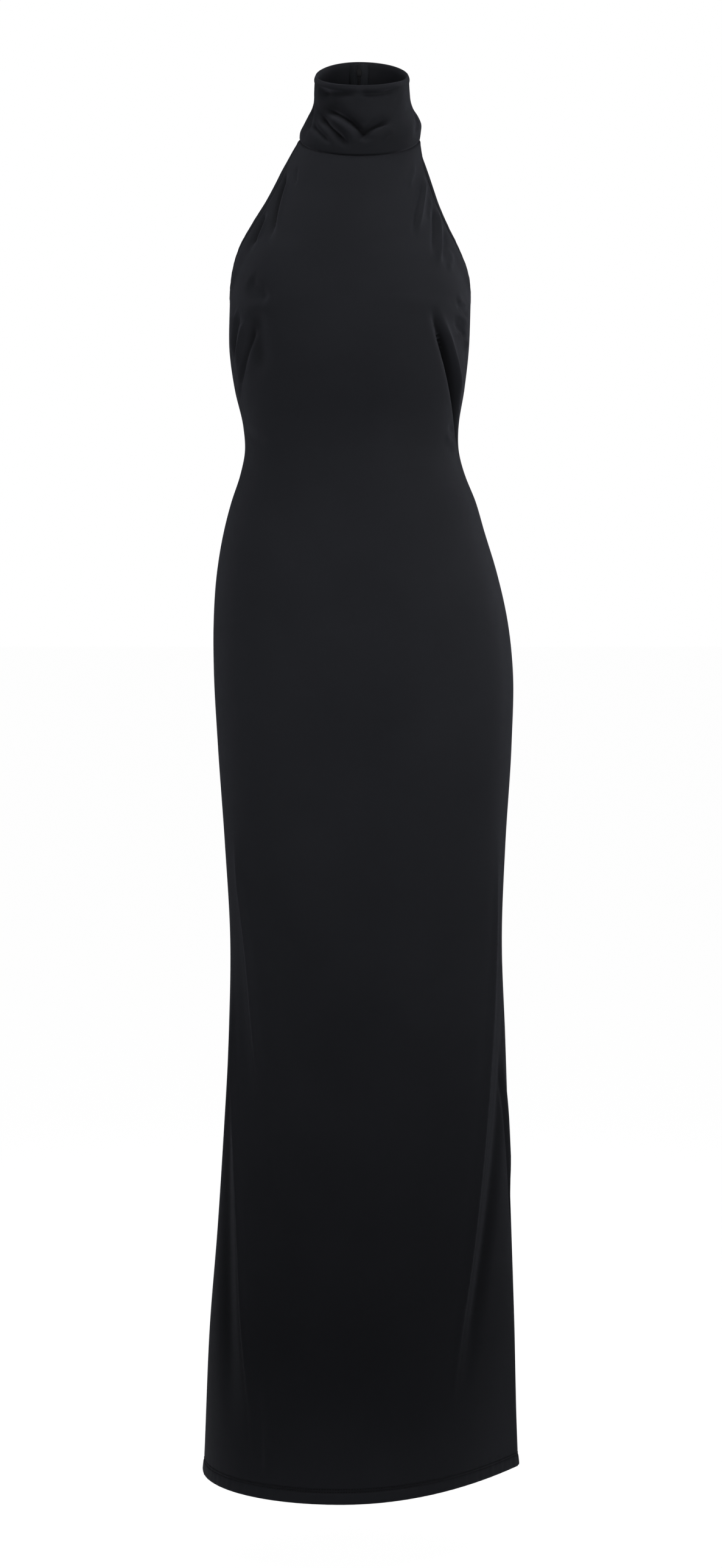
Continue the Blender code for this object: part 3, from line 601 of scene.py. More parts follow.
RIM_TURNS = (math.pi / 4, math.pi / 2, 3 * math.pi / 4)  # round a rim, from the outer face inwards


def edge_ring(grid: np.ndarray) -> np.ndarray:
    """A grid's edge, from its first corner along the top, down the right and back."""
    return np.concatenate([grid[0, :-1], grid[:-1, -1], grid[-1, :0:-1], grid[:0:-1, 0]])


def rim_lines(outer: np.ndarray, inner: np.ndarray, rims: Rims) -> list[np.ndarray]:
    """The rounded lines between a shell's outer and inner edges.

    Args:
        outer: The outer face's grid of points.
        inner: The inner face's.
        rims: How far each edge rounds out.

    Returns:
        One ring of points for each of RIM_TURNS.
    """
    push = np.zeros(outer.shape)
    for rim, edge, next_in in (
        (rims.top, (0, slice(None)), (1, slice(None))),
        (rims.bottom, (-1, slice(None)), (-2, slice(None))),
        (rims.right, (slice(None), -1), (slice(None), -2)),
        (rims.left, (slice(None), 0), (slice(None), 1)),
    ):
        away = outer[edge] - outer[next_in] + inner[edge] - inner[next_in]
        push[edge] += rim * away / np.linalg.norm(away, axis=-1, keepdims=True)
    start = edge_ring(outer)
    end = edge_ring(inner)
    reach = edge_ring(push)
    middle = (start + end) / 2
    return [middle + (start - middle) * math.cos(a) + reach * math.sin(a) for a in RIM_TURNS]


def every_other(count: int) -> np.ndarray:
    """Every second index below a count, with the last."""
    return np.unique(np.append(np.arange(0, count, 2), count - 1))


def grid_faces(index: np.ndarray) -> list[list[int]]:
    """The faces of a grid of points, facing out.

    Args:
        index: The points' numbers.

    Returns:
        The four point numbers of each face.
    """
    corner, below = index[:-1, :-1], index[1:, :-1]
    far, beside = index[1:, 1:], index[:-1, 1:]
    return np.stack([corner, below, far, beside], axis=-1).reshape(-1, 4).tolist()


def shell_object(
    name: str, outer: np.ndarray, inner: np.ndarray, rims: Rims, uv: np.ndarray, painted_light_and_wear: np.ndarray
) -> bpy.types.Object:
    """A closed shell of cloth between an outer grid and every other point of an inner one.

    Args:
        name: The piece's name.
        outer: The outer face, in millimetres.
        inner: The inner face.
        rims: How far each edge rounds out.
        uv: The places on the flat cloth, in millimetres.
        painted_light_and_wear: The cloth's painted light and wear.

    Returns:
        The object, with its places on the flat cloth as a UV map and its painted light and wear as an
        attribute.
    """
    keep = np.ix_(every_other(outer.shape[0]), every_other(outer.shape[1]))
    index = np.arange(outer[..., 0].size).reshape(outer.shape[:2])
    under = index.size + np.arange(index[keep].size).reshape(index[keep].shape)
    kept = np.zeros(index.shape, bool)
    kept[keep] = True
    ring = edge_ring(index)
    lines = rim_lines(outer, inner, rims)
    first = index.size + under.size
    levels = [ring] + [first + k * len(ring) + np.arange(len(ring)) for k in range(len(lines))]
    faces = grid_faces(index) + grid_faces(under[:, ::-1])
    for near, after in zip(levels, levels[1:]):
        quads = np.stack([near, np.roll(near, -1), np.roll(after, -1), after], axis=-1)
        faces += quads.tolist()
    corners = np.flatnonzero(edge_ring(kept))
    inside = edge_ring(under)
    last = levels[-1].tolist()
    for k, (start, end) in enumerate(zip(corners, np.roll(corners, -1))):
        span = [last[c % len(last)] for c in range(start, end + 1 if end > start else end + 1 + len(last))]
        faces.append(span + [int(inside[(k + 1) % len(inside)]), int(inside[k])])
    points = np.concatenate([outer.reshape(-1, 3), inner[keep].reshape(-1, 3), *lines]) * MM
    mesh = bpy.data.meshes.new(name)
    mesh.from_pydata(points.tolist(), [], faces)
    flat = np.concatenate([uv.reshape(-1, 2), uv[keep].reshape(-1, 2)] + [edge_ring(uv)] * len(lines)) * MM
    wear_and_painted_light = np.concatenate([painted_light_and_wear.ravel(), painted_light_and_wear[keep].ravel()] + [edge_ring(painted_light_and_wear)] * len(lines))
    used = np.empty(len(mesh.loops), np.int32)
    mesh.loops.foreach_get("vertex_index", used)
    mesh.uv_layers.new(name=CLOTH_UV).data.foreach_set("uv", flat[used].astype(np.float32).ravel())
    mesh.attributes.new(PAINTED_LIGHT_AND_WEAR_ATTRIBUTE, "FLOAT", "POINT").data.foreach_set("value", wear_and_painted_light.astype(np.float32))
    return new_object(name, mesh)


def linked(name: str, data: bpy.types.ID) -> bpy.types.Object:
    """Links a new object at the origin.

    Args:
        name: The object's name.
        data: Its mesh, light or camera.

    Returns:
        The object.
    """
    item = bpy.data.objects.new(name, data)
    bpy.context.scene.collection.objects.link(item)
    return item


def new_object(name: str, mesh: bpy.types.Mesh) -> bpy.types.Object:
    """Links a smooth-shaded object at the origin for a mesh."""
    mesh.shade_smooth()
    return linked(name, mesh)


def settle(item: bpy.types.Object, body: Body, nodes: tuple[str, ...] = ()) -> None:
    """Tells the frame what a piece rides on and the solids that it replaces.

    Args:
        item: The piece.
        body: The body that it rides on.
        nodes: The solids that it stands for.
    """
    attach(item, body.value)
    if nodes:
        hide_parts(*nodes)
    LOG.info("%s: %d faces on %s", item.name, len(item.data.polygons), body.value)


# --------------------------------------------------------------------------- finishes


class Wiring:
    """Makes and joins the nodes of one tree."""

    def __init__(self, tree: bpy.types.NodeTree) -> None:
        """Keeps the tree that the nodes go in."""
        self.tree = tree

    def fill(self, node: bpy.types.Node, inputs: dict) -> None:
        """Sets inputs of a node.

        Args:
            node: The node.
            inputs: A value or a socket to join, for each input's name or number.
        """
        for key, value in inputs.items():
            if isinstance(value, bpy.types.NodeSocket):
                self.tree.links.new(value, node.inputs[key])
            else:
                node.inputs[key].default_value = value

    def node(self, kind: str, inputs: dict | None = None, **settings: object) -> bpy.types.Node:
        """Adds a node.

        Args:
            kind: Blender's type name for it.
            inputs: A value or a socket to join, for each input's name or number.
            settings: The node's own properties.

        Returns:
            The node.
        """
        made = self.tree.nodes.new(kind)
        for name, value in settings.items():
            setattr(made, name, value)
        self.fill(made, inputs or {})
        return made

    def math(self, operation: str, *values: object) -> bpy.types.NodeSocket:
        """The result of a Math node on sockets or numbers."""
        return self.node("ShaderNodeMath", dict(enumerate(values)), operation=operation).outputs[0]

    def scaled(self, vector: bpy.types.NodeSocket, scale: bpy.types.NodeSocket) -> bpy.types.NodeSocket:
        """A vector or colour times a number."""
        return self.node("ShaderNodeVectorMath", {0: vector, "Scale": scale}, operation="SCALE").outputs[0]


def new_group(kind: str, name: str, inputs: dict[str, tuple], outputs: dict[str, str]) -> Wiring:
    """Makes an empty node group with named sockets.

    Args:
        kind: The type of tree.
        name: The group's name.
        inputs: Each input's type, and its default where it has one.
        outputs: Each output's type.

    Returns:
        The wiring of the group's tree.
    """
    group = bpy.data.node_groups.new(name, kind)
    for word, (form, *default) in inputs.items():
        socket = group.interface.new_socket(name=word, in_out="INPUT", socket_type=f"NodeSocket{form}")
        if default:
            socket.default_value = default[0]
    for word, form in outputs.items():
        group.interface.new_socket(name=word, in_out="OUTPUT", socket_type=f"NodeSocket{form}")
    return Wiring(group)


def knit_group() -> bpy.types.NodeTree:
    """A group for the V-shaped stitches of fine jersey.

    Returns:
        The group, whose Height is the stitches' relief, from 0 to 1.
    """
    inputs = {"Place": ("Vector",), "Wale": ("Float", 0.0006), "Course": ("Float", 0.0005)}
    leg_share, base_share = 0.6, 0.4
    w = new_group("ShaderNodeTree", "knit", inputs, {"Height": "Float"})
    given = w.node("NodeGroupInput").outputs
    place = w.node("ShaderNodeSeparateXYZ", {0: given["Place"]}).outputs
    wale = w.math("FRACT", w.math("DIVIDE", place["X"], given["Wale"]))
    leg = w.math("MULTIPLY", w.math("ABSOLUTE", w.math("SUBTRACT", wale, 0.5)), 2.0)
    course = w.math("ADD", w.math("DIVIDE", place["Y"], given["Course"]), leg)
    round_course = w.math("SINE", w.math("MULTIPLY", w.math("FRACT", course), math.pi))
    round_leg = w.math("SINE", w.math("MULTIPLY", leg, math.pi))
    yarn = w.math("MULTIPLY", round_course, w.math("MULTIPLY_ADD", round_leg, leg_share, base_share))
    w.node("NodeGroupOutput", {"Height": yarn})
    return w.tree


def bloom_group() -> bpy.types.NodeTree:
    """A group for soft uneven patches, such as where cloth is brushed or handled.

    Returns:
        The group, whose Patch is from 0 to 1 with broad forms and a finer grain in them.
    """
    inputs = {"Place": ("Vector",), "Scale": ("Float", 9.0), "Grain": ("Float", 900.0)}
    broad_share, fine_share = 0.65, 0.35
    broad_detail, fine_detail = 3.0, 2.0
    least, most = 0.3, 0.7
    w = new_group("ShaderNodeTree", "bloom", inputs, {"Patch": "Float"})
    given = w.node("NodeGroupInput").outputs
    forms = {"Vector": given["Place"], "Scale": given["Scale"], "Detail": broad_detail}
    grain = {"Vector": given["Place"], "Scale": given["Grain"], "Detail": fine_detail}
    broad = w.node("ShaderNodeTexNoise", forms).outputs[0]
    fine = w.node("ShaderNodeTexNoise", grain).outputs[0]
    both = w.math("MULTIPLY_ADD", broad, broad_share, w.math("MULTIPLY", fine, fine_share))
    spread = w.node("ShaderNodeMapRange", {"Value": both, "From Min": least, "From Max": most})
    w.node("NodeGroupOutput", {"Patch": spread.outputs[0]})
    return w.tree


@dataclass(frozen=True)
class Finish:
    """A black finish that varies between a darker and a lighter shade."""

    name: str
    dark: tuple[float, float, float]
    light: tuple[float, float, float]
    roughness: float
    specular: float

    def start(self) -> tuple[bpy.types.Material, Wiring]:
        """Makes the material with nothing set.

        Returns:
            The material, and the wiring of its tree.
        """
        material = bpy.data.materials.new(self.name)
        material.use_nodes = True
        return material, Wiring(material.node_tree)

    def shade(self, w: Wiring, share: bpy.types.NodeSocket) -> bpy.types.NodeSocket:
        """A colour between the darker shade and the lighter.

        Args:
            w: The wiring of the material's tree.
            share: How far towards the lighter shade the colour is.

        Returns:
            The colour's socket.
        """
        # Inputs 0, 6 and 7 of the node are its factor and two colours, and output 2 is the colour between.
        inputs = {0: share, 6: (*self.dark, 1), 7: (*self.light, 1)}
        return w.node("ShaderNodeMix", inputs, data_type="RGBA").outputs[2]

    def coat(self, w: Wiring, inputs: dict) -> None:
        """Sets the inputs of the material's shader."""
        w.fill(w.tree.nodes["Principled BSDF"], {"Specular IOR Level": self.specular, **inputs})


@dataclass(frozen=True)
class ClothFinish(Finish):
    """Black knitted or woven cloth."""

    sheen: float
    sheen_roughness: float
    sheen_tint: tuple[float, float, float]
    tint: tuple[float, float, float]
    wale: float
    course: float
    relief: float

    PATCHED = 0.7  # how far the uneven patches go towards the lighter shade
    LIGHT_AND_WEAR_SHARE = 0.5  # and the painted light and wear
    YARN = 0.5  # how much lighter the yarn is painted than the painted shade in the hollows between
    # the colour left in the knit's hollows, as painted shade
    HOLLOW_SHADE = 0.6
    POLISH = 0.08  # how much smoother the lighter cloth is
    POLISH_MIDDLE = 0.03
    BUMP = 0.6

    def make(self, knit: bpy.types.NodeTree, bloom: bpy.types.NodeTree) -> bpy.types.Material:
        """Builds the material.

        Args:
            knit: The group for stitches.
            bloom: The group for uneven patches.

        Returns:
            The material.
        """
        material, w = self.start()
        place = w.node("ShaderNodeUVMap", uv_map=CLOTH_UV).outputs[0]
        stitches = {"Place": place, "Wale": self.wale, "Course": self.course}
        yarn = w.node("ShaderNodeGroup", stitches, node_tree=knit).outputs["Height"]
        patch = w.node("ShaderNodeGroup", {"Place": place}, node_tree=bloom).outputs["Patch"]
        wear_and_painted_light = w.node("ShaderNodeAttribute", attribute_name=PAINTED_LIGHT_AND_WEAR_ATTRIBUTE).outputs["Fac"]
        share = w.math("MULTIPLY_ADD", wear_and_painted_light, self.LIGHT_AND_WEAR_SHARE, w.math("MULTIPLY", patch, self.PATCHED))
        # painted shade in the knit's hollows between the yarns
        shaded = w.math("MULTIPLY", share, w.math("MULTIPLY_ADD", yarn, self.YARN, self.HOLLOW_SHADE))
        # below 0 the attribute darkens the colour, as painted shade in deep folds and painted shadow in seams
        # and on the zip tapes
        painted_shade_scale = w.math("ADD", w.math("MINIMUM", wear_and_painted_light, 0.0), 1.0)
        bump = {"Strength": self.BUMP, "Distance": self.relief, "Height": yarn}
        inputs = {
            "Base Color": w.scaled(self.shade(w, shaded), painted_shade_scale),
            "Roughness": w.math("MULTIPLY_ADD", share, -self.POLISH, self.roughness + self.POLISH_MIDDLE),
            "Normal": w.node("ShaderNodeBump", bump).outputs[0],
            "Specular Tint": (*self.tint, 1),
            "Sheen Weight": self.sheen,
            "Sheen Roughness": self.sheen_roughness,
            "Sheen Tint": (*self.sheen_tint, 1),
        }
        self.coat(w, inputs)
        return material


@dataclass(frozen=True)
class HardFinish(Finish):
    """Black thread, nylon coil or enamelled metal."""

    scale: float

    UNEVEN = 0.12  # how far the roughness varies

    def make(self, bloom: bpy.types.NodeTree) -> bpy.types.Material:
        """Builds the material.

        Args:
            bloom: The group for uneven patches.

        Returns:
            The material.
        """
        material, w = self.start()
        inputs = {"Place": w.node("ShaderNodeTexCoord").outputs["Object"], "Scale": self.scale}
        patch = w.node("ShaderNodeGroup", inputs, node_tree=bloom).outputs["Patch"]
        rough = w.math("MULTIPLY_ADD", patch, self.UNEVEN, self.roughness - self.UNEVEN / 2)
        self.coat(w, {"Base Color": self.shade(w, patch), "Roughness": rough})
        return material


JERSEY = ClothFinish(
    name="black_jersey",
    dark=(0.0081, 0.0086, 0.0107),
    light=(0.0121, 0.0128, 0.0157),
    roughness=0.66,
    specular=0.16,
    sheen=0.12,
    sheen_roughness=0.42,
    sheen_tint=(0.82, 0.84, 1.0),
    tint=(0.90, 0.92, 1.0),
    wale=0.00062,
    course=0.00052,
    relief=0.00012,
)
ZIP_TAPE = ClothFinish(
    name="black_zip_tape",
    dark=(0.0070, 0.0073, 0.0092),
    light=(0.0105, 0.0109, 0.0136),
    roughness=0.72,
    specular=0.3,
    sheen=0.08,
    sheen_roughness=0.5,
    sheen_tint=(0.75, 0.82, 1.0),
    tint=(0.84, 0.91, 1.0),
    wale=0.0011,
    course=0.0007,
    relief=0.00016,
)
THREAD = HardFinish("black_thread", (0.006, 0.0063, 0.008), (0.011, 0.0115, 0.0145), 0.55, 0.3, 300.0)
COIL = HardFinish("black_nylon_coil", (0.004, 0.0043, 0.0055), (0.008, 0.0085, 0.0105), 0.5, 0.3, 200.0)
ENAMEL = HardFinish("black_enamel", (0.0035, 0.0037, 0.0046), (0.006, 0.0064, 0.008), 0.55, 0.16, 120.0)


class Finishes:
    """Every material of the dress, built once."""

    def __init__(self) -> None:
        """Builds the two shared groups, and each material from them."""
        knit = knit_group()
        bloom = bloom_group()
        self.jersey = JERSEY.make(knit, bloom)
        self.zip_tape = ZIP_TAPE.make(knit, bloom)
        self.thread = THREAD.make(bloom)
        self.coil = COIL.make(bloom)
        self.enamel = ENAMEL.make(bloom)


# --------------------------------------------------------------------------- rows of beads


class BeadRow:
    """A Geometry Nodes tree that sets small rounded beads along paths, as stitches or zip coil."""

    SIDES = 8
    RINGS = 5
    INPUTS = {
        "Geometry": ("Geometry",),
        "Pitch": ("Float", 0.003),
        "Size": ("Vector",),
        "Alternate": ("Float", 0.0),
        "Jitter": ("Float", 0.0),
        "Seed": ("Int", 3),
        "Finish": ("Material",),
    }

    def __init__(self) -> None:
        """Builds the tree."""
        w = new_group("GeometryNodeTree", "bead_row", self.INPUTS, {"Geometry": "Geometry"})
        self.tree = w.tree
        given = w.node("NodeGroupInput").outputs
        path = w.node("GeometryNodeMeshToCurve", {"Mesh": given["Geometry"]}).outputs[0]
        steps = {"Curve": path, "Length": given["Pitch"]}
        resampled = w.node("GeometryNodeResampleCurve", steps, mode="LENGTH").outputs[0]
        named = w.node("GeometryNodeInputNamedAttribute", {"Name": OUT}, data_type="FLOAT_VECTOR")
        outward = named.outputs[0]
        tangent = w.node("GeometryNodeInputTangent").outputs[0]
        sides = {0: outward, 1: tangent}
        across = w.node("ShaderNodeVectorMath", sides, operation="CROSS_PRODUCT").outputs[0]
        odd = w.math("MODULO", w.node("GeometryNodeInputIndex").outputs[0], 2.0)
        sway = w.math("MULTIPLY", w.math("MULTIPLY_ADD", odd, 2.0, -1.0), given["Alternate"])
        shifted = {"Geometry": resampled, "Offset": w.scaled(across, sway)}
        placed = w.node("GeometryNodeSetPosition", shifted).outputs[0]
        axes = {"Primary Axis": outward, "Secondary Axis": tangent}
        turned = w.node("FunctionNodeAxesToRotation", axes, primary_axis="Z", secondary_axis="X").outputs[0]
        sphere = {"Segments": self.SIDES, "Rings": self.RINGS, "Radius": 0.5}
        bead = w.node("GeometryNodeMeshUVSphere", sphere).outputs[0]
        each = {"Points": placed, "Instance": bead, "Rotation": turned, "Scale": given["Size"]}
        beads = w.node("GeometryNodeInstanceOnPoints", each).outputs[0]
        # Inputs 2 and 3 of the random node are a float's least and most, and output 1 is the float.
        most = given["Jitter"]
        span = {2: w.math("MULTIPLY", most, -1.0), 3: most, "Seed": given["Seed"]}
        noise = w.node("FunctionNodeRandomValue", span, data_type="FLOAT").outputs[1]
        spin = w.node("ShaderNodeCombineXYZ", {"Z": noise}).outputs[0]
        loose = w.node("GeometryNodeRotateInstances", {"Instances": beads, "Rotation": spin}).outputs[0]
        real = w.node("GeometryNodeRealizeInstances", {"Geometry": loose}).outputs[0]
        smooth = w.node("GeometryNodeSetShadeSmooth", {"Geometry": real}).outputs[0]
        dressed = w.node("GeometryNodeSetMaterial", {"Geometry": smooth, "Material": given["Finish"]})
        w.node("NodeGroupOutput", {"Geometry": dressed.outputs[0]})

    def along(
        self,
        name: str,
        paths: list["Path"],
        pitch: float,
        size: tuple[float, float, float],
        finish: bpy.types.Material,
        alternate: float = 0.0,
        jitter: float = 0.0,
    ) -> bpy.types.Object:
        """Sets beads along paths and turns them into a plain mesh.

        Args:
            name: The piece's name.
            paths: The paths that the beads follow.
            pitch: From one bead to the next, in millimetres.
            size: A bead's size along the path, across it and outwards, in millimetres.
            finish: The beads' material.
            alternate: How far the beads stand to either side in turn, in millimetres.
            jitter: The most that a bead is turned, in radians.

        Returns:
            The object.
        """
        mesh = bpy.data.meshes.new(name + "_path")
        points = np.concatenate([path.points for path in paths]) * MM
        edges = []
        start = 0
        for path in paths:
            edges += [(start + k, start + k + 1) for k in range(len(path.points) - 1)]
            start += len(path.points)
        mesh.from_pydata(points.tolist(), edges, [])
        outward = np.concatenate([path.normals for path in paths]).astype(np.float32)
        mesh.attributes.new(OUT, "FLOAT_VECTOR", "POINT").data.foreach_set("vector", outward.ravel())
        guide = linked(name + "_path", mesh)
        row = guide.modifiers.new("beads", "NODES")
        row.node_group = self.tree
        values = {
            "Pitch": pitch * MM,
            "Size": [s * MM for s in size],
            "Alternate": alternate * MM,
            "Jitter": jitter,
            "Finish": finish,
        }
        for socket in self.tree.interface.items_tree:
            if socket.in_out == "INPUT" and socket.name in values:
                row[socket.identifier] = values[socket.name]
        evaluated = guide.evaluated_get(bpy.context.evaluated_depsgraph_get())
        made = bpy.data.meshes.new_from_object(evaluated)
        bpy.data.objects.remove(guide)
        made.name = name
        if OUT in made.attributes:
            made.attributes.remove(made.attributes[OUT])
        return linked(name, made)


STITCH_LIFT = 0.1  # how far the middle of a stitch stands off the cloth, in millimetres


class Path(NamedTuple):
    """A line of points on a piece, and its outward normals."""

    points: np.ndarray
    normals: np.ndarray

    @classmethod
    def over(cls, points: np.ndarray, normals: np.ndarray) -> "Path":
        """The path just clear of a line on a surface."""
        return cls(points + normals * STITCH_LIFT, normals)


@dataclass(frozen=True)
class Stitch:
    """The size of one kind of stitch, in millimetres."""

    pitch: float = 2.9
    length: float = 2.3
    thread: float = 0.42
    height: float = 0.34
    jitter: float = 0.06

    def sew(self, beads: BeadRow, name: str, paths: list[Path], finishes: Finishes) -> bpy.types.Object:
        """Sews along paths.

        Args:
            beads: The tree that sets the stitches.
            name: The piece's name.
            paths: The lines to sew along.
            finishes: The materials.

        Returns:
            The stitches as one piece.
        """
        size = (self.length, self.thread, self.height)
        made = beads.along(name, paths, self.pitch, size, finishes.thread, jitter=self.jitter)
        settle(made, Body.DRESS)
        return made


# --------------------------------------------------------------------------- panels


@dataclass(frozen=True)
class Sewing:
    """How the panels' edges are turned and sewn, in millimetres."""

    jersey: float = 0.9  # one layer
    turned: float = 0.8  # what a turned edge adds inside
    proud: float = 0.28  # how far it stands out
    edge_dip: float = 1.4  # how far its very edge rounds in, as a share of that
    turn_fade: float = 1.2
    seam_turn: float = 7.0
    armhole_turn: float = 6.2
    armhole_stitch: float = 4.7
    zip_turn: float = 12.0
    neck_turn: float = 6.0
    hem_turn: float = 17.0
    hem_rows: tuple[float, float] = (12.6, 15.4)
    hem_flare: float = 1.2
    hem_fade: float = 2.5  # how near a side seam the hem is flat
    seam_dip: float = 1.1
    seam_width: float = 1.15
    zip_dip: float = 0.6  # a share of the seams' dip
    stitch_dip: float = 0.8
    stitch_width: float = 0.85
    sewn_fade: float = 8.0  # above the underarm, where an armhole's edge becomes a side seam's
    crease_fade: float = 4.0  # the distance from an edge over which creases end
    fold_fade: float = 14.0  # and folds
    neck_fade: float = 9.0  # and both of them, below the neck seam
    ease_fade: float = 24.0  # the distance over which the smoothing under the armholes comes in
    ease_reach: float = 55.0  # how far it reaches above and below the underarm
    ease_share: float = 0.5  # how far one round of it moves a point
    ease_rounds: int = 120
    pucker: float = 0.16
    pucker_length: float = 11.0
    pucker_end: float = 0.6  # how far past a turn its puckers reach, as a share of the turn
    hem_pucker_end: float = 0.7
    armhole_drift: float = 37.0  # the length over which an edge's puckers swell and fade
    armhole_start: float = 1.0  # where in that length an armhole starts, as an angle
    hem_drift: float = 41.0

    def puckered(self, along: np.ndarray, drift: float, start: float = 0.0) -> np.ndarray:
        """The slight waves along a sewn edge.

        Args:
            along: Distances along the edge.
            drift: The length over which the waves swell and fade.
            start: Where in that length the edge starts, as an angle.

        Returns:
            How far the waves lift the cloth.
        """
        turn = 2 * math.pi * along
        wave = np.sin(turn / self.pucker_length) * np.sin(turn / drift + start)
        return self.pucker * wave


SEWING = Sewing()
# How far in from an edge the lines of a grid stand: close together where the cloth turns and is sewn.
TOP_STEPS = (0.0, 0.35, 0.8, 1.4, 2.2, 3.4, 5.0, 7.2)
SEAM_STEPS = (*TOP_STEPS, 9.8)
EDGE_STEPS = (0.0, 0.35, 0.8, 1.4, 2.2, 3.2, 3.9, 4.3, 4.7, 5.1, 5.6, 6.4, 7.6, 9.2)
HEM_STEPS = (
    0.0, 0.4, 1.0, 2.0, 3.6, 5.8, 8.2, 10.4, 11.8, 12.2, 12.6,
    13.0, 13.5, 14.4, 15.0, 15.4, 15.8, 16.3, 17.0, 18.2, 20.4,
)  # fmt: skip
YOKE_STEP = 2.3  # between the yoke's rows on average
YOKE_CROWD = 1.3  # above 1 they stand closer towards the underarm
BODICE_ROWS = 108
SKIRT_ROWS = 124


def heights_of(top_z: float) -> np.ndarray:
    """The heights at the middle of a panel's rows, from its neck seam to the hem.

    Args:
        top_z: The height of the neck seam at the panel's middle.

    Returns:
        The heights, close together at the seam, over the bust and in the hem.
    """
    top = top_z - SEAM_GAP / 2 - np.array(TOP_STEPS)
    crowd = np.linspace(1, 0, int((top[-1] - UNDERARM_Z) / YOKE_STEP)) ** YOKE_CROWD
    yoke = UNDERARM_Z + (top[-1] - UNDERARM_Z) * crowd[1:]
    bodice = np.linspace(UNDERARM_Z, BODICE_END_Z, BODICE_ROWS)[1:]
    hem = HEM_Z + np.array(HEM_STEPS)[::-1]
    skirt = np.linspace(BODICE_END_Z, hem[0], SKIRT_ROWS)[1:-1]
    return np.concatenate([top, yoke, bodice, skirt, hem])


@dataclass
class PanelForm:
    """The rows of a front or back panel, and what is sewn and folded into it."""

    yoke: tuple[Row, ...]
    front: bool
    top_z: float
    folds: tuple[Fold, ...]
    creases: tuple[Fold, ...]

    ARC_SAMPLES = 900
    CROWD = 0.5  # how much closer together the columns stand at the side than in the middle

    def rows(self) -> tuple[Row, ...]:
        """The panel's table.

        Returns:
            Its rows, from the neck seam to the hem.
        """
        body = []
        for r in RINGS:
            if self.front:
                middle = (r.front_x, r.front_y)
                falls = (r.left_fall, r.right_fall)
            else:
                middle = ((r.left_x + r.right_x) / 2, r.back_y)
                falls = (r.back_fall, r.back_fall)
            left = (r.left_x, r.left_y, falls[0])
            right = (r.right_x, r.right_y, falls[1])
            body.append(Row(r.z, r.z, *middle, *left, *right))
        return self.yoke + tuple(body)

    def read(self, heights: np.ndarray) -> dict[str, np.ndarray]:
        """Every column of the table at the heights given.

        Below the underarm the side edges are read from the level rows alone, so that the front's
        edges are the back's.

        Args:
            heights: Heights at the panel's middle.

        Returns:
            Each column's values there.
        """
        rows = self.rows()
        table = table_columns(rows, Row._fields)
        level = table_columns(rows[-len(RINGS) :], Row._fields)
        values = {}
        for name in Row._fields:
            values[name] = through(-table["mid_z"], table[name], -heights)
            if name in EDGE_COLUMNS:
                lower = through(-level["mid_z"], level[name], -heights)
                values[name] = np.where(heights <= UNDERARM_Z, lower, values[name])
        return values

    def half(self, heights: np.ndarray, half: Half, near: float, count: int) -> tuple[np.ndarray, np.ndarray]:
        """One half of the panel, from its middle line out to its edge.

        Args:
            heights: Heights at the panel's middle.
            half: Which half it is.
            near: Where the half starts, out from the middle line.
            count: How many columns it has between its edges.

        Returns:
            The points, and their distances out along the cloth.
        """
        values = self.read(heights)
        edge = half.name.lower()
        turn = np.linspace(0, math.pi / 2, self.ARC_SAMPLES)
        deep = np.clip(np.cos(turn), 0, 1)
        start = near + np.array(SEAM_STEPS) if near else np.zeros(1)
        spread = np.linspace(0, 1, count)
        spread = spread * (1 + self.CROWD - self.CROWD * spread)
        points = []
        out = []
        for k in range(len(heights)):
            row = {name: column[k] for name, column in values.items()}
            edge_x, edge_y, fall = (row[f"{edge}_{what}"] for what in ("x", "y", "fall"))
            x = row["mid_x"] + (edge_x - row["mid_x"]) * np.sin(turn)
            y = edge_y + (row["mid_y"] - edge_y) * deep**fall
            z = row["side_z"] + (row["mid_z"] - row["side_z"]) * deep
            line = np.column_stack([x, y, z])
            along = along_line(line)
            close = along[-1] - SEAM_GAP / 2 - np.array(EDGE_STEPS)[::-1]
            middle = start[-1] + (close[0] - start[-1]) * spread
            at = np.concatenate([start[:-1], middle, close[1:]])
            points.append(read_line(line, along, at))
            out.append(half.value * at)
        return np.array(points), np.array(out)


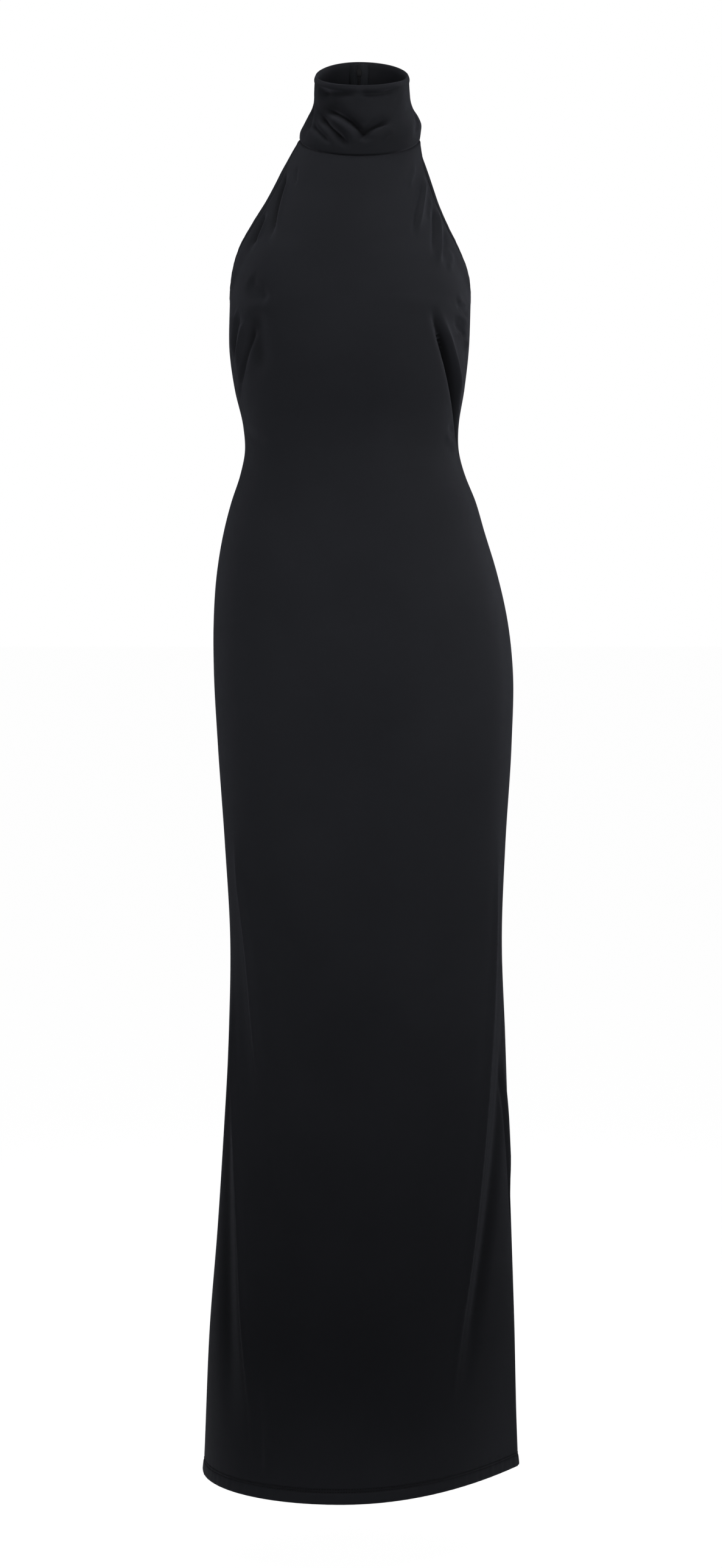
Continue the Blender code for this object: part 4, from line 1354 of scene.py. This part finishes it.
@dataclass
class Panel:
    """A panel of the dress as one shell of cloth."""

    name: str
    form: PanelForm
    half: Half | None = None
    columns: int = 102
    rims: Rims = Rims(top=0.22, right=0.16, bottom=0.4, left=0.16)

    skin: Skin = field(init=False)
    outer: np.ndarray = field(init=False)
    wall: np.ndarray = field(init=False)
    profile: np.ndarray = field(init=False)
    painted_light_and_wear: np.ndarray = field(init=False)

    def __post_init__(self) -> None:
        """Lays out the panel's folded skin, and its edges' profile and wall."""
        heights = heights_of(self.form.top_z)
        near = CLOSED_GAP / 2 if self.half else 0.0
        if self.half:
            points, out = self.form.half(heights, self.half, near, self.columns)
            if self.half is Half.RIGHT:
                points, out = points[:, ::-1], out[:, ::-1]
            side = np.abs(out).max(axis=1, keepdims=True)
        else:
            left, left_out = self.form.half(heights, Half.LEFT, near, self.columns)
            right, right_out = self.form.half(heights, Half.RIGHT, near, self.columns)
            points = np.concatenate([left[:, :0:-1], right], axis=1)
            out = np.concatenate([left_out[:, :0:-1], right_out], axis=1)
            side = np.where(out < 0, np.abs(out[:, :1]), np.abs(out[:, -1:]))
        edge = side - np.abs(out)
        middle = np.abs(out) - near
        z = np.broadcast_to(heights[:, None], out.shape)
        points = self.eased(points, z, edge)
        flat = Skin(points, out, lengths_along(points, 0))
        lift = self.folded(out, z, edge, middle)
        self.skin = Skin(flat.lifted(lift), out, flat.down)
        self.skin.level_near(flat.down)
        up = self.skin.points[..., 2] - points[-1:, :, 2]
        free = 1 - soft_step((UNDERARM_Z + SEWING.sewn_fade - z) / SEWING.sewn_fade)
        self.turn_edges(edge, middle, up, free)
        self.painted_light_and_wear = self.wear_and_painted_light(lift, edge, up, free)

    def eased(self, points: np.ndarray, z: np.ndarray, edge: np.ndarray) -> np.ndarray:
        """The cloth's points with the turn under the armholes smoothed away from the edge.

        Args:
            points: The grid of points.
            z: Heights at the middle line.
            edge: Distances from the side edge.

        Returns:
            The smoothed grid.
        """
        s = SEWING
        share = soft_step((edge - s.armhole_turn) / s.ease_fade)
        share = share * hump(z - UNDERARM_Z, s.ease_reach) * s.ease_share
        for _ in range(s.ease_rounds):
            middle = (points[:-2] + points[2:]) / 2 - points[1:-1]
            points = np.concatenate([points[:1], points[1:-1] + middle * share[1:-1, :, None], points[-1:]])
        return points

    def folded(self, out: np.ndarray, z: np.ndarray, edge: np.ndarray, middle: np.ndarray) -> np.ndarray:
        """How far the folds and creases lift the cloth.

        Args:
            out: Distances out from the middle line.
            z: Heights at the middle line.
            edge: Distances from the side edge.
            middle: Distances from the edge at the centre back, where there is one.

        Returns:
            The lift, in millimetres.
        """
        s = SEWING
        sewn = soft_step((UNDERARM_Z + s.fold_fade - z) / s.fold_fade)
        top = soft_step((z[0, 0] - z) / s.neck_fade)
        still = (1 - sewn * (1 - soft_step(edge / s.fold_fade))) * top
        still_creases = soft_step(edge / s.crease_fade) * top
        if self.half:
            at_zip = soft_step((middle - s.zip_turn) / s.fold_fade)
            still = still * at_zip
            still_creases = still_creases * at_zip
        lift = fold_lift(self.form.folds, out, z) * still
        return lift + fold_lift(self.form.creases, out, z) * still_creases

    def turn_edges(self, edge: np.ndarray, middle: np.ndarray, up: np.ndarray, free: np.ndarray) -> None:
        """Works out the dips and ridges of the sewn edges, and how thick the cloth is there.

        Args:
            edge: Distances from the side edge.
            middle: Distances from the centre back edge.
            up: Heights above the hem.
            free: 1 where the side edge is an armhole's, and 0 where it is a side seam's.
        """
        s = SEWING
        sewn = 1 - free
        top = self.skin.down
        seam = -s.seam_dip * hump(edge, s.seam_width)
        armhole = s.proud * soft_step((s.armhole_turn - edge) / s.turn_fade)
        armhole -= s.stitch_dip * hump(edge - s.armhole_stitch, s.stitch_width)
        armhole -= s.proud * s.edge_dip * hump(edge, s.seam_width)
        wave = s.puckered(top, s.armhole_drift, s.armhole_start)
        armhole += wave * soft_step(1 + s.pucker_end - edge / s.armhole_turn)
        hem = s.proud * soft_step((s.hem_turn - up) / s.turn_fade)
        for row in s.hem_rows:
            hem = hem - s.stitch_dip * hump(up - row, s.stitch_width)
        hem -= s.proud * s.edge_dip * hump(up, s.seam_width)
        hem += s.hem_flare * np.clip(1 - up / s.hem_turn, 0, 1)
        wave = s.puckered(np.abs(self.skin.out), s.hem_drift)
        hem += wave * soft_step(1 + s.hem_pucker_end - up / s.hem_turn)
        self.profile = sewn * seam + free * armhole + hem * soft_step(edge / s.hem_fade + free)
        self.profile -= s.seam_dip * hump(top, s.seam_width)
        turned = sewn * soft_step(s.seam_turn - edge) + free * soft_step(s.armhole_turn - edge)
        turned = np.maximum(turned, soft_step(s.hem_turn - up))
        turned = np.maximum(turned, soft_step(s.neck_turn - top))
        if self.half:
            self.profile -= s.seam_dip * s.zip_dip * hump(middle, s.seam_width)
            turned = np.maximum(turned, soft_step(s.zip_turn - middle))
        self.wall = s.jersey + s.turned * turned

    def wear_and_painted_light(self, lift: np.ndarray, edge: np.ndarray, up: np.ndarray, free: np.ndarray) -> np.ndarray:
        """The panel's painted light and wear.

        Args:
            lift: How far the folds lift the cloth.
            edge: Distances from the side edge.
            up: Heights above the hem.
            free: 1 where the side edge is an armhole's, and 0 where it is a side seam's.

        Returns:
            The value: wear on the hem and the armholes' edges, painted light on the folds' ridges and the hem
                band, and below 0 painted shade in deep folds and painted shadow in the seams and stitch
                lines.
        """
        w = PAINTED_LIGHT_AND_WEAR
        plain = w.edge * hump(up, w.edge_width) + w.edge * free * hump(edge, w.edge_width)
        # painted light on the hem band below its stitches
        plain += w.hem * soft_step((SEWING.hem_rows[0] - up) / w.hem_fade)
        # painted shadow in the neck seam and in the hem's lines of stitches
        black = w.neck_seam * hump(self.skin.down, SEWING.stitch_width * w.seam_spread)
        for row in SEWING.hem_rows:
            black += w.hem_stitches * hump(up - row, SEWING.stitch_width)
        return w.folded(lift, plain) - black

    def build(self, finishes: Finishes) -> bpy.types.Object:
        """Makes the panel's shell and logs its cut.

        Args:
            finishes: The materials.

        Returns:
            The piece.
        """
        self.outer = self.skin.lifted(self.profile)
        inner = self.skin.lifted(-self.wall)
        item = shell_object(self.name, self.outer, inner, self.rims, self.skin.flat_places(), self.painted_light_and_wear)
        item.data.materials.append(finishes.jersey)
        stem = self.name.removesuffix("_panel")
        settle(item, Body.DRESS, (f"{stem}_bodice", f"{stem}_skirt"))
        width, length, area = self.skin.cut()
        LOG.info("%s: cut %.3f x %.3f m, %.3f square metres", self.name, width, length, area)
        return item

    def hem_paths(self) -> list[Path]:
        """The lines of stitches in the hem.

        Returns:
            A path for each of the two.
        """
        normals = normals_of(self.outer)
        rows = [-1 - HEM_STEPS.index(row) for row in SEWING.hem_rows]
        return [Path.over(self.outer[k], normals[k]) for k in rows]

    def armhole_paths(self) -> list[Path]:
        """The lines of stitches along the panel's armhole edges.

        Returns:
            One path for a back panel, and two for the front.
        """
        normals = normals_of(self.outer)
        step = EDGE_STEPS.index(SEWING.armhole_stitch)
        first = len(TOP_STEPS) - 2
        last = int(np.argmax(self.skin.points[:, step, 2] < UNDERARM_Z)) - 1
        rows = slice(first, last)
        columns = {Half.LEFT: (-1 - step,), Half.RIGHT: (step,), None: (step, -1 - step)}[self.half]
        return [Path.over(self.outer[rows, k], normals[rows, k]) for k in columns]


# --------------------------------------------------------------------------- collar


@dataclass
class Collar:
    """The stand collar, folded double over its top edge and open at the centre back."""

    name: str = "stand_collar"
    wall: float = 2.4
    rims: Rims = Rims(top=1.35, right=0.12, bottom=0.2, left=0.12)
    puff: float = 0.7  # how much the cloth swells below its folded top
    puff_reach: float = 6.5  # how far down it swells
    puff_inside: float = 0.5  # how much it swells inside, as a share of that outside
    side_fade: float = 10.0  # the distance from the sides over which folds end
    front_columns: int = 120
    back_columns: int = 58
    rows: int = 58

    skin: Skin = field(init=False)
    lift: np.ndarray = field(init=False)
    up: np.ndarray = field(init=False)

    def __post_init__(self) -> None:
        """Lays out the collar's folded skin."""
        fine = np.array(TOP_STEPS) + SEAM_GAP / 2
        low = fine[::-1] / COLLAR_HEIGHT
        self.up = np.concatenate([np.linspace(1, low[0], self.rows)[:-1], low])
        quarter = np.linspace(0, 1, self.back_columns)
        across = np.linspace(-1, 1, self.front_columns)
        parts = (
            (False, -1, quarter[:-1], COLLAR_BACK_FOLDS, COLLAR_BACK_CREASES),
            (True, 0, across, COLLAR_FRONT_FOLDS, COLLAR_FRONT_CREASES),
            (False, 1, quarter[::-1][1:], COLLAR_BACK_FOLDS, COLLAR_BACK_CREASES),
        )
        grids = []
        outs = []
        lifts = []
        for front, side, shares, folds, creases in parts:
            lines = [self.line(share, front, side, shares) for share in self.up]
            grid = np.array([points for points, _ in lines])
            out = np.array([distances for _, distances in lines])
            height = np.broadcast_to(self.up[:, None] * COLLAR_HEIGHT, out.shape)
            lift = fold_lift(folds, out, height) * soft_step(height / SEWING.neck_fade)
            lift += fold_lift(creases, out, height) * soft_step(height / SEWING.crease_fade)
            side_edge = np.abs(out).max(axis=1, keepdims=True)
            lift *= soft_step((side_edge - np.abs(out)) / self.side_fade)
            grids.append(grid)
            outs.append(out)
            lifts.append(lift)
        points = np.concatenate(grids, axis=1)
        flat = Skin(points, lengths_along(points, 1), lengths_along(points, 0))
        self.lift = np.concatenate(lifts, axis=1)
        self.skin = Skin(flat.lifted(self.lift), flat.out, flat.down)
        self.skin.level_near(self.up[:, None] * COLLAR_HEIGHT)

    def ring(self, share: float) -> CollarRing:
        """A ring of the collar.

        Args:
            share: The share of the collar's height that it is at.

        Returns:
            The ring.
        """
        table = table_columns(COLLAR_RINGS, CollarRing._fields)
        at = np.array(share)
        return CollarRing(*(float(through(table["share"], table[name], at)) for name in CollarRing._fields))

    def line(self, share: float, front: bool, side: int, shares: np.ndarray) -> tuple[np.ndarray, np.ndarray]:
        """A line round part of the collar.

        Args:
            share: The share of the collar's height.
            front: Whether the line is on the front half.
            side: -1 for the back's left half, 1 for its right half and 0 for the whole front.
            shares: How far out the points are, from 0 at the middle to 1 or -1 at the sides.

        Returns:
            The points, and their distances out from the middle.
        """
        ring = self.ring(share)
        side_z = NECK_SIDE_Z + (COLLAR_SIDE_TOP_Z - NECK_SIDE_Z) * share
        if front:
            mid_z = NECK_FRONT_Z + (COLLAR_FRONT_TOP_Z - NECK_FRONT_Z) * share
            mid_x, mid_y = FRONT_YOKE[0].mid_x, ring.front_y
        else:
            mid_z = NECK_BACK_Z + (COLLAR_BACK_TOP_Z - NECK_BACK_Z) * share
            mid_x, mid_y = BACK_YOKE[0].mid_x, ring.back_y
        turn = np.linspace(0, math.pi / 2, PanelForm.ARC_SAMPLES)
        points = np.empty((len(shares), 3))
        out = np.empty(len(shares))
        near = 0 if front else self.gap(share)
        for way, edge_x in ((-1, ring.left_x), (1, ring.right_x)):
            here = shares < 0 if way < 0 else shares >= 0
            if side:
                here = np.full(len(shares), way == side)
            x = mid_x + (edge_x - mid_x) * np.sin(turn)
            y = ring.side_y + (mid_y - ring.side_y) * np.cos(turn)
            z = side_z + (mid_z - side_z) * np.cos(turn)
            arc = np.column_stack([x, y, z])
            along = along_line(arc)
            at = near + np.abs(shares[here]) * (along[-1] - near)
            points[here] = read_line(arc, along, at)
            out[here] = way * at
        return points, out

    def gap(self, share: float) -> float:
        """Half the gap at the centre back, which widens round the slider."""
        away = (share - SLIDER_SHARE) * COLLAR_HEIGHT / SLIDER_REACH
        return (CLOSED_GAP + (SLIDER_GAP - CLOSED_GAP) * math.exp(-away * away)) / 2

    def build(self, finishes: Finishes) -> bpy.types.Object:
        """Makes the collar and logs its cut.

        Args:
            finishes: The materials.

        Returns:
            The piece.
        """
        height = self.up[:, None] * COLLAR_HEIGHT
        below = COLLAR_HEIGHT - height
        swell = self.puff * np.sin(np.clip(below / self.puff_reach, 0, 1) * math.pi)
        outer = self.skin.lifted(swell - SEWING.seam_dip * hump(height, SEWING.seam_width))
        inner = self.skin.lifted(-self.wall - self.puff_inside * swell)
        w = PAINTED_LIGHT_AND_WEAR
        # painted highlight along the folded top, painted light and shade on the folds, and a deeper black all
        # over
        painted_light_and_wear = w.folded(self.lift, w.collar_top * hump(below, w.collar_top_width)) + w.collar
        # painted shadow in the neck seam
        painted_light_and_wear -= w.collar_seam * hump(height, SEWING.stitch_width * w.seam_spread)
        item = shell_object(self.name, outer, inner, self.rims, self.skin.flat_places(), painted_light_and_wear)
        item.data.materials.append(finishes.jersey)
        settle(item, Body.DRESS, ("collar",))
        width, length, area = self.skin.cut()
        LOG.info("%s: each layer %.3f x %.3f m, %.3f square metres", self.name, width, length, area)
        return item


# --------------------------------------------------------------------------- zip


@dataclass
class Zip:
    """The closed zip at the centre back: two tapes, the coil between them, slider and pull tab."""

    collar: Collar
    left: Panel
    right: Panel
    overlap: float = 0.12  # how far a tape reaches past the cloth's edge at the centre
    tape_width: float = 10.4
    tape_end: float = 9.0  # how much of the left tape's top is turned under
    tape_end_fade: float = 0.8
    tape_wall: float = 0.6
    tape_gap: float = 0.3
    tape_rims: Rims = Rims(top=0.1, right=0.25, bottom=0.1, left=0.25)
    panel_wall: float = 1.6  # of the solid, which the tape lies against
    tape_columns: int = 17
    stitched: tuple[int, int] = (8, -9)  # the left tape's column of stitches, and the right one's
    stitch: Stitch = Stitch(pitch=2.6, length=2.0)
    top_rows: int = 1  # of the collar's, which the tapes stay below
    curl: float = 1.3  # how far the left tape's free edge stands off near its top
    curl_across: Fade = Fade(5.5, 5.0)
    curl_top: Fade = Fade(6.0, 8.0)
    curl_end: Fade = Fade(30.0, 30.0)
    coil_black: float = 0.85  # painted shadow: how much deeper the black is beside the coil
    coil_fade: Fade = Fade(1.2, 0.9)
    edge_black: float = 0.8  # painted shadow at a tape's free edge
    edge_fade: Fade = Fade(9.2, 0.7)
    left_black: float = 0.5  # painted shade all over the left tape
    outer_black: float = 0.4  # and painted shadow on its outer part, under its curl
    outer_fade: Fade = Fade(6.2, 1.6)
    chain_width: float = 3.7
    chain_sink: float = 0.05  # how far the coil is bedded in the tapes
    tooth: tuple[float, float, float] = (1.02, 2.5, 0.8)
    tooth_pitch: float = 0.72
    bevel: float = 0.16
    bevel_segments: int = 2
    weld: float = 1e-6  # in metres
    flat_angle: float = 2.0  # faces that meet at less become one, in degrees
    bevel_angle: float = 35.0
    sharp_angle: float = 40.0

    def tape_grid(self, half: Half) -> tuple[np.ndarray, np.ndarray]:
        """The outer face of one tape.

        Args:
            half: Which side of the zip it is on.

        Returns:
            Its points, and its outward normals.
        """
        at = np.linspace(0, self.tape_width, self.tape_columns)
        panel = self.left if half is Half.LEFT else self.right
        lines = []
        turned = []
        for skin, wall in ((self.collar.skin, self.collar.wall), (panel.skin, self.panel_wall)):
            points, normals = skin.points, skin.normals
            if half is Half.RIGHT:
                points, normals = points[:, ::-1], normals[:, ::-1]
            keep = points[:, 0, 2] >= ZIP_END_Z
            for line, out in zip(points[keep], normals[keep]):
                along = along_line(line)
                place = read_line(line, along, at)
                facing = read_line(out, along, at)
                place[0] -= (place[1] - place[0]) * self.overlap / at[1]
                lines.append(place - facing * (wall + self.tape_gap))
                turned.append(facing)
        return np.array(lines[self.top_rows :]), np.array(turned[self.top_rows :])

    def tape(self, half: Half, finishes: Finishes) -> tuple[bpy.types.Object, np.ndarray, np.ndarray]:
        """Makes one tape.

        Args:
            half: Which side of the zip it is on.
            finishes: The materials.

        Returns:
            The piece, its inner face and its outward normals.
        """
        outer, normals = self.tape_grid(half)
        wall = np.full(outer.shape[:2], self.tape_wall)
        if half is Half.LEFT:
            down = lengths_along(outer, 0)
            across = lengths_along(outer, 1)
            curl = self.curl_across.at(across) * self.curl_top.at(down) * (1 - self.curl_end.at(down))
            outer = outer - normals * (self.curl * curl)[..., None]
            wall += self.tape_wall * soft_step((self.tape_end - down) / self.tape_end_fade)
        inner = outer - normals * wall[..., None]
        word = half.name.lower()
        if half is Half.RIGHT:
            outer, inner, normals = outer[:, ::-1], inner[:, ::-1], normals[:, ::-1]
        out = lengths_along(outer, 1)
        down = lengths_along(outer, 0)
        uv = np.stack([out, down], axis=-1)
        item = shell_object(f"zip_{word}_tape", outer, inner, self.tape_rims, uv, self.tape_painted_shade(half, out))
        item.data.materials.append(finishes.zip_tape)
        settle(item, Body.DRESS, (f"zip_tape_{word}",))
        return item, inner, normals

    def tape_painted_shade(self, half: Half, out: np.ndarray) -> np.ndarray:
        """A tape's painted shade: a deeper black beside the coil, at its free edge and over the left tape.

        Args:
            half: Which side of the zip the tape is on.
            out: Distances across it, from its left edge seen from outside.

        Returns:
            The painted shade, below 0 all over.
        """
        reach = out if half is Half.LEFT else out.max() - out
        # painted shadow beside the coil and at the free edge
        wear = -self.coil_black * (1 - self.coil_fade.at(reach)) - self.edge_black * self.edge_fade.at(reach)
        if half is Half.LEFT:
            # painted shade over the left tape, deeper under its curled edge
            wear -= self.left_black + self.outer_black * self.outer_fade.at(out)
        return wear

    def build(self, beads: BeadRow, finishes: Finishes) -> None:
        """Makes the tapes, their stitches, the coil, the slider and the pull tab.

        Args:
            beads: The tree that sets stitches and coil.
            finishes: The materials.
        """
        _, left_face, left_out = self.tape(Half.LEFT, finishes)
        _, right_face, right_out = self.tape(Half.RIGHT, finishes)
        middle = (left_face[:, 0] + right_face[:, -1]) / 2
        outward = left_out[:, 0] + right_out[:, -1]
        outward /= np.linalg.norm(outward, axis=1, keepdims=True)
        height = self.tooth[2]
        chain = Path(middle - outward * (height / 2 - self.chain_sink), outward)
        sway = (self.chain_width - self.tooth[1]) / 2
        coil = beads.along("zip_coil", [chain], self.tooth_pitch, self.tooth, finishes.coil, alternate=sway)
        settle(coil, Body.DRESS)
        left, right = self.stitched
        paths = [
            Path.over(left_face[:, left], -left_out[:, left]),
            Path.over(right_face[:, right], -right_out[:, right]),
        ]
        self.stitch.sew(beads, "zip_tape_stitches", paths, finishes)
        self.hard_piece("zip_slider", Body.DRESS, finishes)
        self.hard_piece("zip_pull", Body.PULL, finishes)

    def hard_piece(self, node: str, body: Body, finishes: Finishes) -> None:
        """Makes a copy of one of the zip's hard solids with rounded edges.

        Args:
            node: The solid.
            body: The body that it rides on.
            finishes: The materials.
        """
        shape = bmesh.new()
        shape.from_mesh(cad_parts[node].data)
        bmesh.ops.remove_doubles(shape, verts=shape.verts, dist=self.weld)
        flat = math.radians(self.flat_angle)
        bmesh.ops.dissolve_limit(shape, angle_limit=flat, verts=shape.verts, edges=shape.edges)
        least = math.radians(self.bevel_angle)
        sharp = [e for e in shape.edges if e.is_manifold and e.calc_face_angle(0) > least]
        bmesh.ops.bevel(
            shape,
            geom=sharp,
            offset=self.bevel * MM,
            segments=self.bevel_segments,
            profile=0.5,  # round
            affect="EDGES",
            clamp_overlap=True,
        )
        mesh = bpy.data.meshes.new(node + "_enamelled")
        shape.to_mesh(mesh)
        shape.free()
        item = new_object(node + "_enamelled", mesh)
        mesh.set_sharp_from_angle(angle=math.radians(self.sharp_angle))
        mesh.materials.append(finishes.enamel)
        settle(item, body, (node,))


# --------------------------------------------------------------------------- the room


WHITE = (1, 1, 1, 1)


@dataclass(frozen=True)
class Softbox:
    """A large soft light, aimed at a place: sizes in metres, power in watts and spread in degrees."""

    name: str
    place: tuple[float, float, float]
    aim: tuple[float, float, float]
    size: tuple[float, float]
    power: float
    spread: float = 180.0

    def hang(self) -> None:
        """Puts the light in the scene."""
        data = bpy.data.lights.new(self.name, "AREA")
        data.shape = "RECTANGLE"
        data.size, data.size_y = self.size
        data.energy = self.power
        data.spread = math.radians(self.spread)
        lamp = linked(self.name, data)
        lamp.location = self.place
        lamp.rotation_euler = (Vector(self.aim) - Vector(self.place)).to_track_quat("-Z", "Y").to_euler()


@dataclass(frozen=True)
class Studio:
    """A pale floor, a white surround, soft lights and the camera."""

    floor_z: float = -1.52
    floor_reach: float = 60.0
    floor_shade: float = 0.5
    floor_roughness: float = 0.9
    floor_specular: float = 0.1
    floor_glow: float = 1.16  # the strength of the white that the camera sees on the floor
    floor_white: float = 0.85  # the share of it
    surround: float = 1.0
    fill: float = 0.03  # how much of the surround's light falls on the cloth
    camera_place: tuple[float, float, float] = (0.0, -3.0, -0.48645)
    camera_tilt: float = 86.2226
    lens: float = 63.5
    sensor: float = 36.0
    lights: tuple[Softbox, ...] = (
        Softbox("front_right", (1.7, -2.5, 0.3), (0.0, 0.0, -0.2), (1.0, 1.2), 5.0, 80.0),
        Softbox("front_left", (-1.7, -2.5, 0.3), (0.0, 0.0, -0.2), (1.0, 1.2), 4.6, 80.0),
        Softbox("front_low", (0.1, -3.0, -1.0), (0.0, 0.0, -0.25), (0.8, 0.8), 1.45, 34.0),
        Softbox("side_left", (-2.4, -0.9, -0.5), (0.0, 0.0, -0.7), (0.6, 0.6), 0.1, 26.0),
        Softbox("rim_right", (2.2, 0.2, 0.1), (0.0, 0.0, -0.45), (0.5, 1.0), 1.3, 50.0),
        Softbox("rim_left", (-2.2, 0.3, -0.2), (0.0, 0.0, -0.6), (0.5, 1.0), 0.15, 40.0),
        Softbox("floor_bounce", (0.0, -1.6, -1.46), (0.0, 0.0, -1.5), (0.5, 0.1), 0.08, 15.0),
        Softbox("overhead", (0.0, -0.6, 2.4), (0.0, 0.0, -0.2), (1.0, 1.0), 9.7, 120.0),
        Softbox("back", (0.0, 3.3, 0.7), (0.0, 0.0, -0.45), (0.5, 1.2), 17.0, 90.0),
    )

    def build(self) -> None:
        """Makes the floor, the surround, the lights and the camera."""
        self.make_floor()
        self.make_surround()
        for light in self.lights:
            light.hang()
        data = bpy.data.cameras.new("camera")
        data.lens = self.lens
        data.sensor_width = self.sensor
        camera = linked("camera", data)
        camera.location = self.camera_place
        camera.rotation_euler = (math.radians(self.camera_tilt), 0.0, 0.0)
        bpy.context.scene.camera = camera
        bpy.context.scene.view_settings.view_transform = "Standard"

    def make_floor(self) -> None:
        """Makes the plain pale floor."""
        mesh = bpy.data.meshes.new("floor")
        r = self.floor_reach
        corners = [(-r, -r, self.floor_z), (r, -r, self.floor_z), (r, r, self.floor_z), (-r, r, self.floor_z)]
        mesh.from_pydata(corners, [], [(0, 1, 2, 3)])
        floor = new_object("floor", mesh)
        material = bpy.data.materials.new("pale_floor")
        material.use_nodes = True
        w = Wiring(material.node_tree)
        surface = w.tree.nodes["Principled BSDF"]
        shade = (self.floor_shade, self.floor_shade, self.floor_shade, 1)
        w.fill(surface, {"Base Color": shade, "Roughness": self.floor_roughness})
        w.fill(surface, {"Specular IOR Level": self.floor_specular})
        seen = w.node("ShaderNodeLightPath").outputs["Is Camera Ray"]
        glow = w.node("ShaderNodeEmission", {"Color": WHITE, "Strength": self.floor_glow}).outputs[0]
        share = w.math("MULTIPLY", seen, self.floor_white)
        mixed = w.node("ShaderNodeMixShader", {0: share, 1: surface.outputs[0], 2: glow}).outputs[0]
        w.fill(w.tree.nodes["Material Output"], {"Surface": mixed})
        mesh.materials.append(material)

    def make_surround(self) -> None:
        """Makes the surround white to look at and a soft fill for the cloth."""
        world = bpy.data.worlds.new("surround")
        world.use_nodes = True
        w = Wiring(world.node_tree)
        seen = w.node("ShaderNodeLightPath").outputs["Is Camera Ray"]
        unseen = w.math("MULTIPLY", w.math("SUBTRACT", 1.0, seen), self.fill)
        strength = w.math("MULTIPLY_ADD", seen, self.surround, unseen)
        w.fill(w.tree.nodes["Background"], {"Color": WHITE, "Strength": strength})
        bpy.context.scene.world = world


# --------------------------------------------------------------------------- the whole dress


@dataclass
class MaxiDress:
    """The dress: its three panels, collar, sewing and zip."""

    front: Panel
    back_left: Panel
    back_right: Panel
    collar: Collar

    def build(self, beads: BeadRow, finishes: Finishes) -> None:
        """Builds every piece in order.

        Args:
            beads: The tree that sets stitches and coil.
            finishes: The materials.
        """
        panels = (self.front, self.back_left, self.back_right)
        for panel in panels:
            panel.build(finishes)
        self.collar.build(finishes)
        hem = [path for panel in panels for path in panel.hem_paths()]
        Stitch().sew(beads, "hem_stitches", hem, finishes)
        armholes = [path for panel in panels for path in panel.armhole_paths()]
        Stitch().sew(beads, "armhole_stitches", armholes, finishes)
        Zip(self.collar, self.back_left, self.back_right).build(beads, finishes)


def main() -> None:
    """Builds the dress and the studio round it."""
    logging.basicConfig(level=logging.INFO, format="%(name)s %(message)s")
    finishes = Finishes()
    front = PanelForm(FRONT_YOKE, True, NECK_FRONT_Z, FRONT_FOLDS, FRONT_CREASES)
    back = PanelForm(BACK_YOKE, False, NECK_BACK_Z, BACK_FOLDS, BACK_CREASES)
    dress = MaxiDress(
        front=Panel("front_panel", front),
        back_left=Panel("back_left_panel", back, Half.LEFT),
        back_right=Panel("back_right_panel", back, Half.RIGHT),
        collar=Collar(),
    )
    dress.build(BeadRow(), finishes)
    Studio().build()


if __name__ == "__main__":
    main()
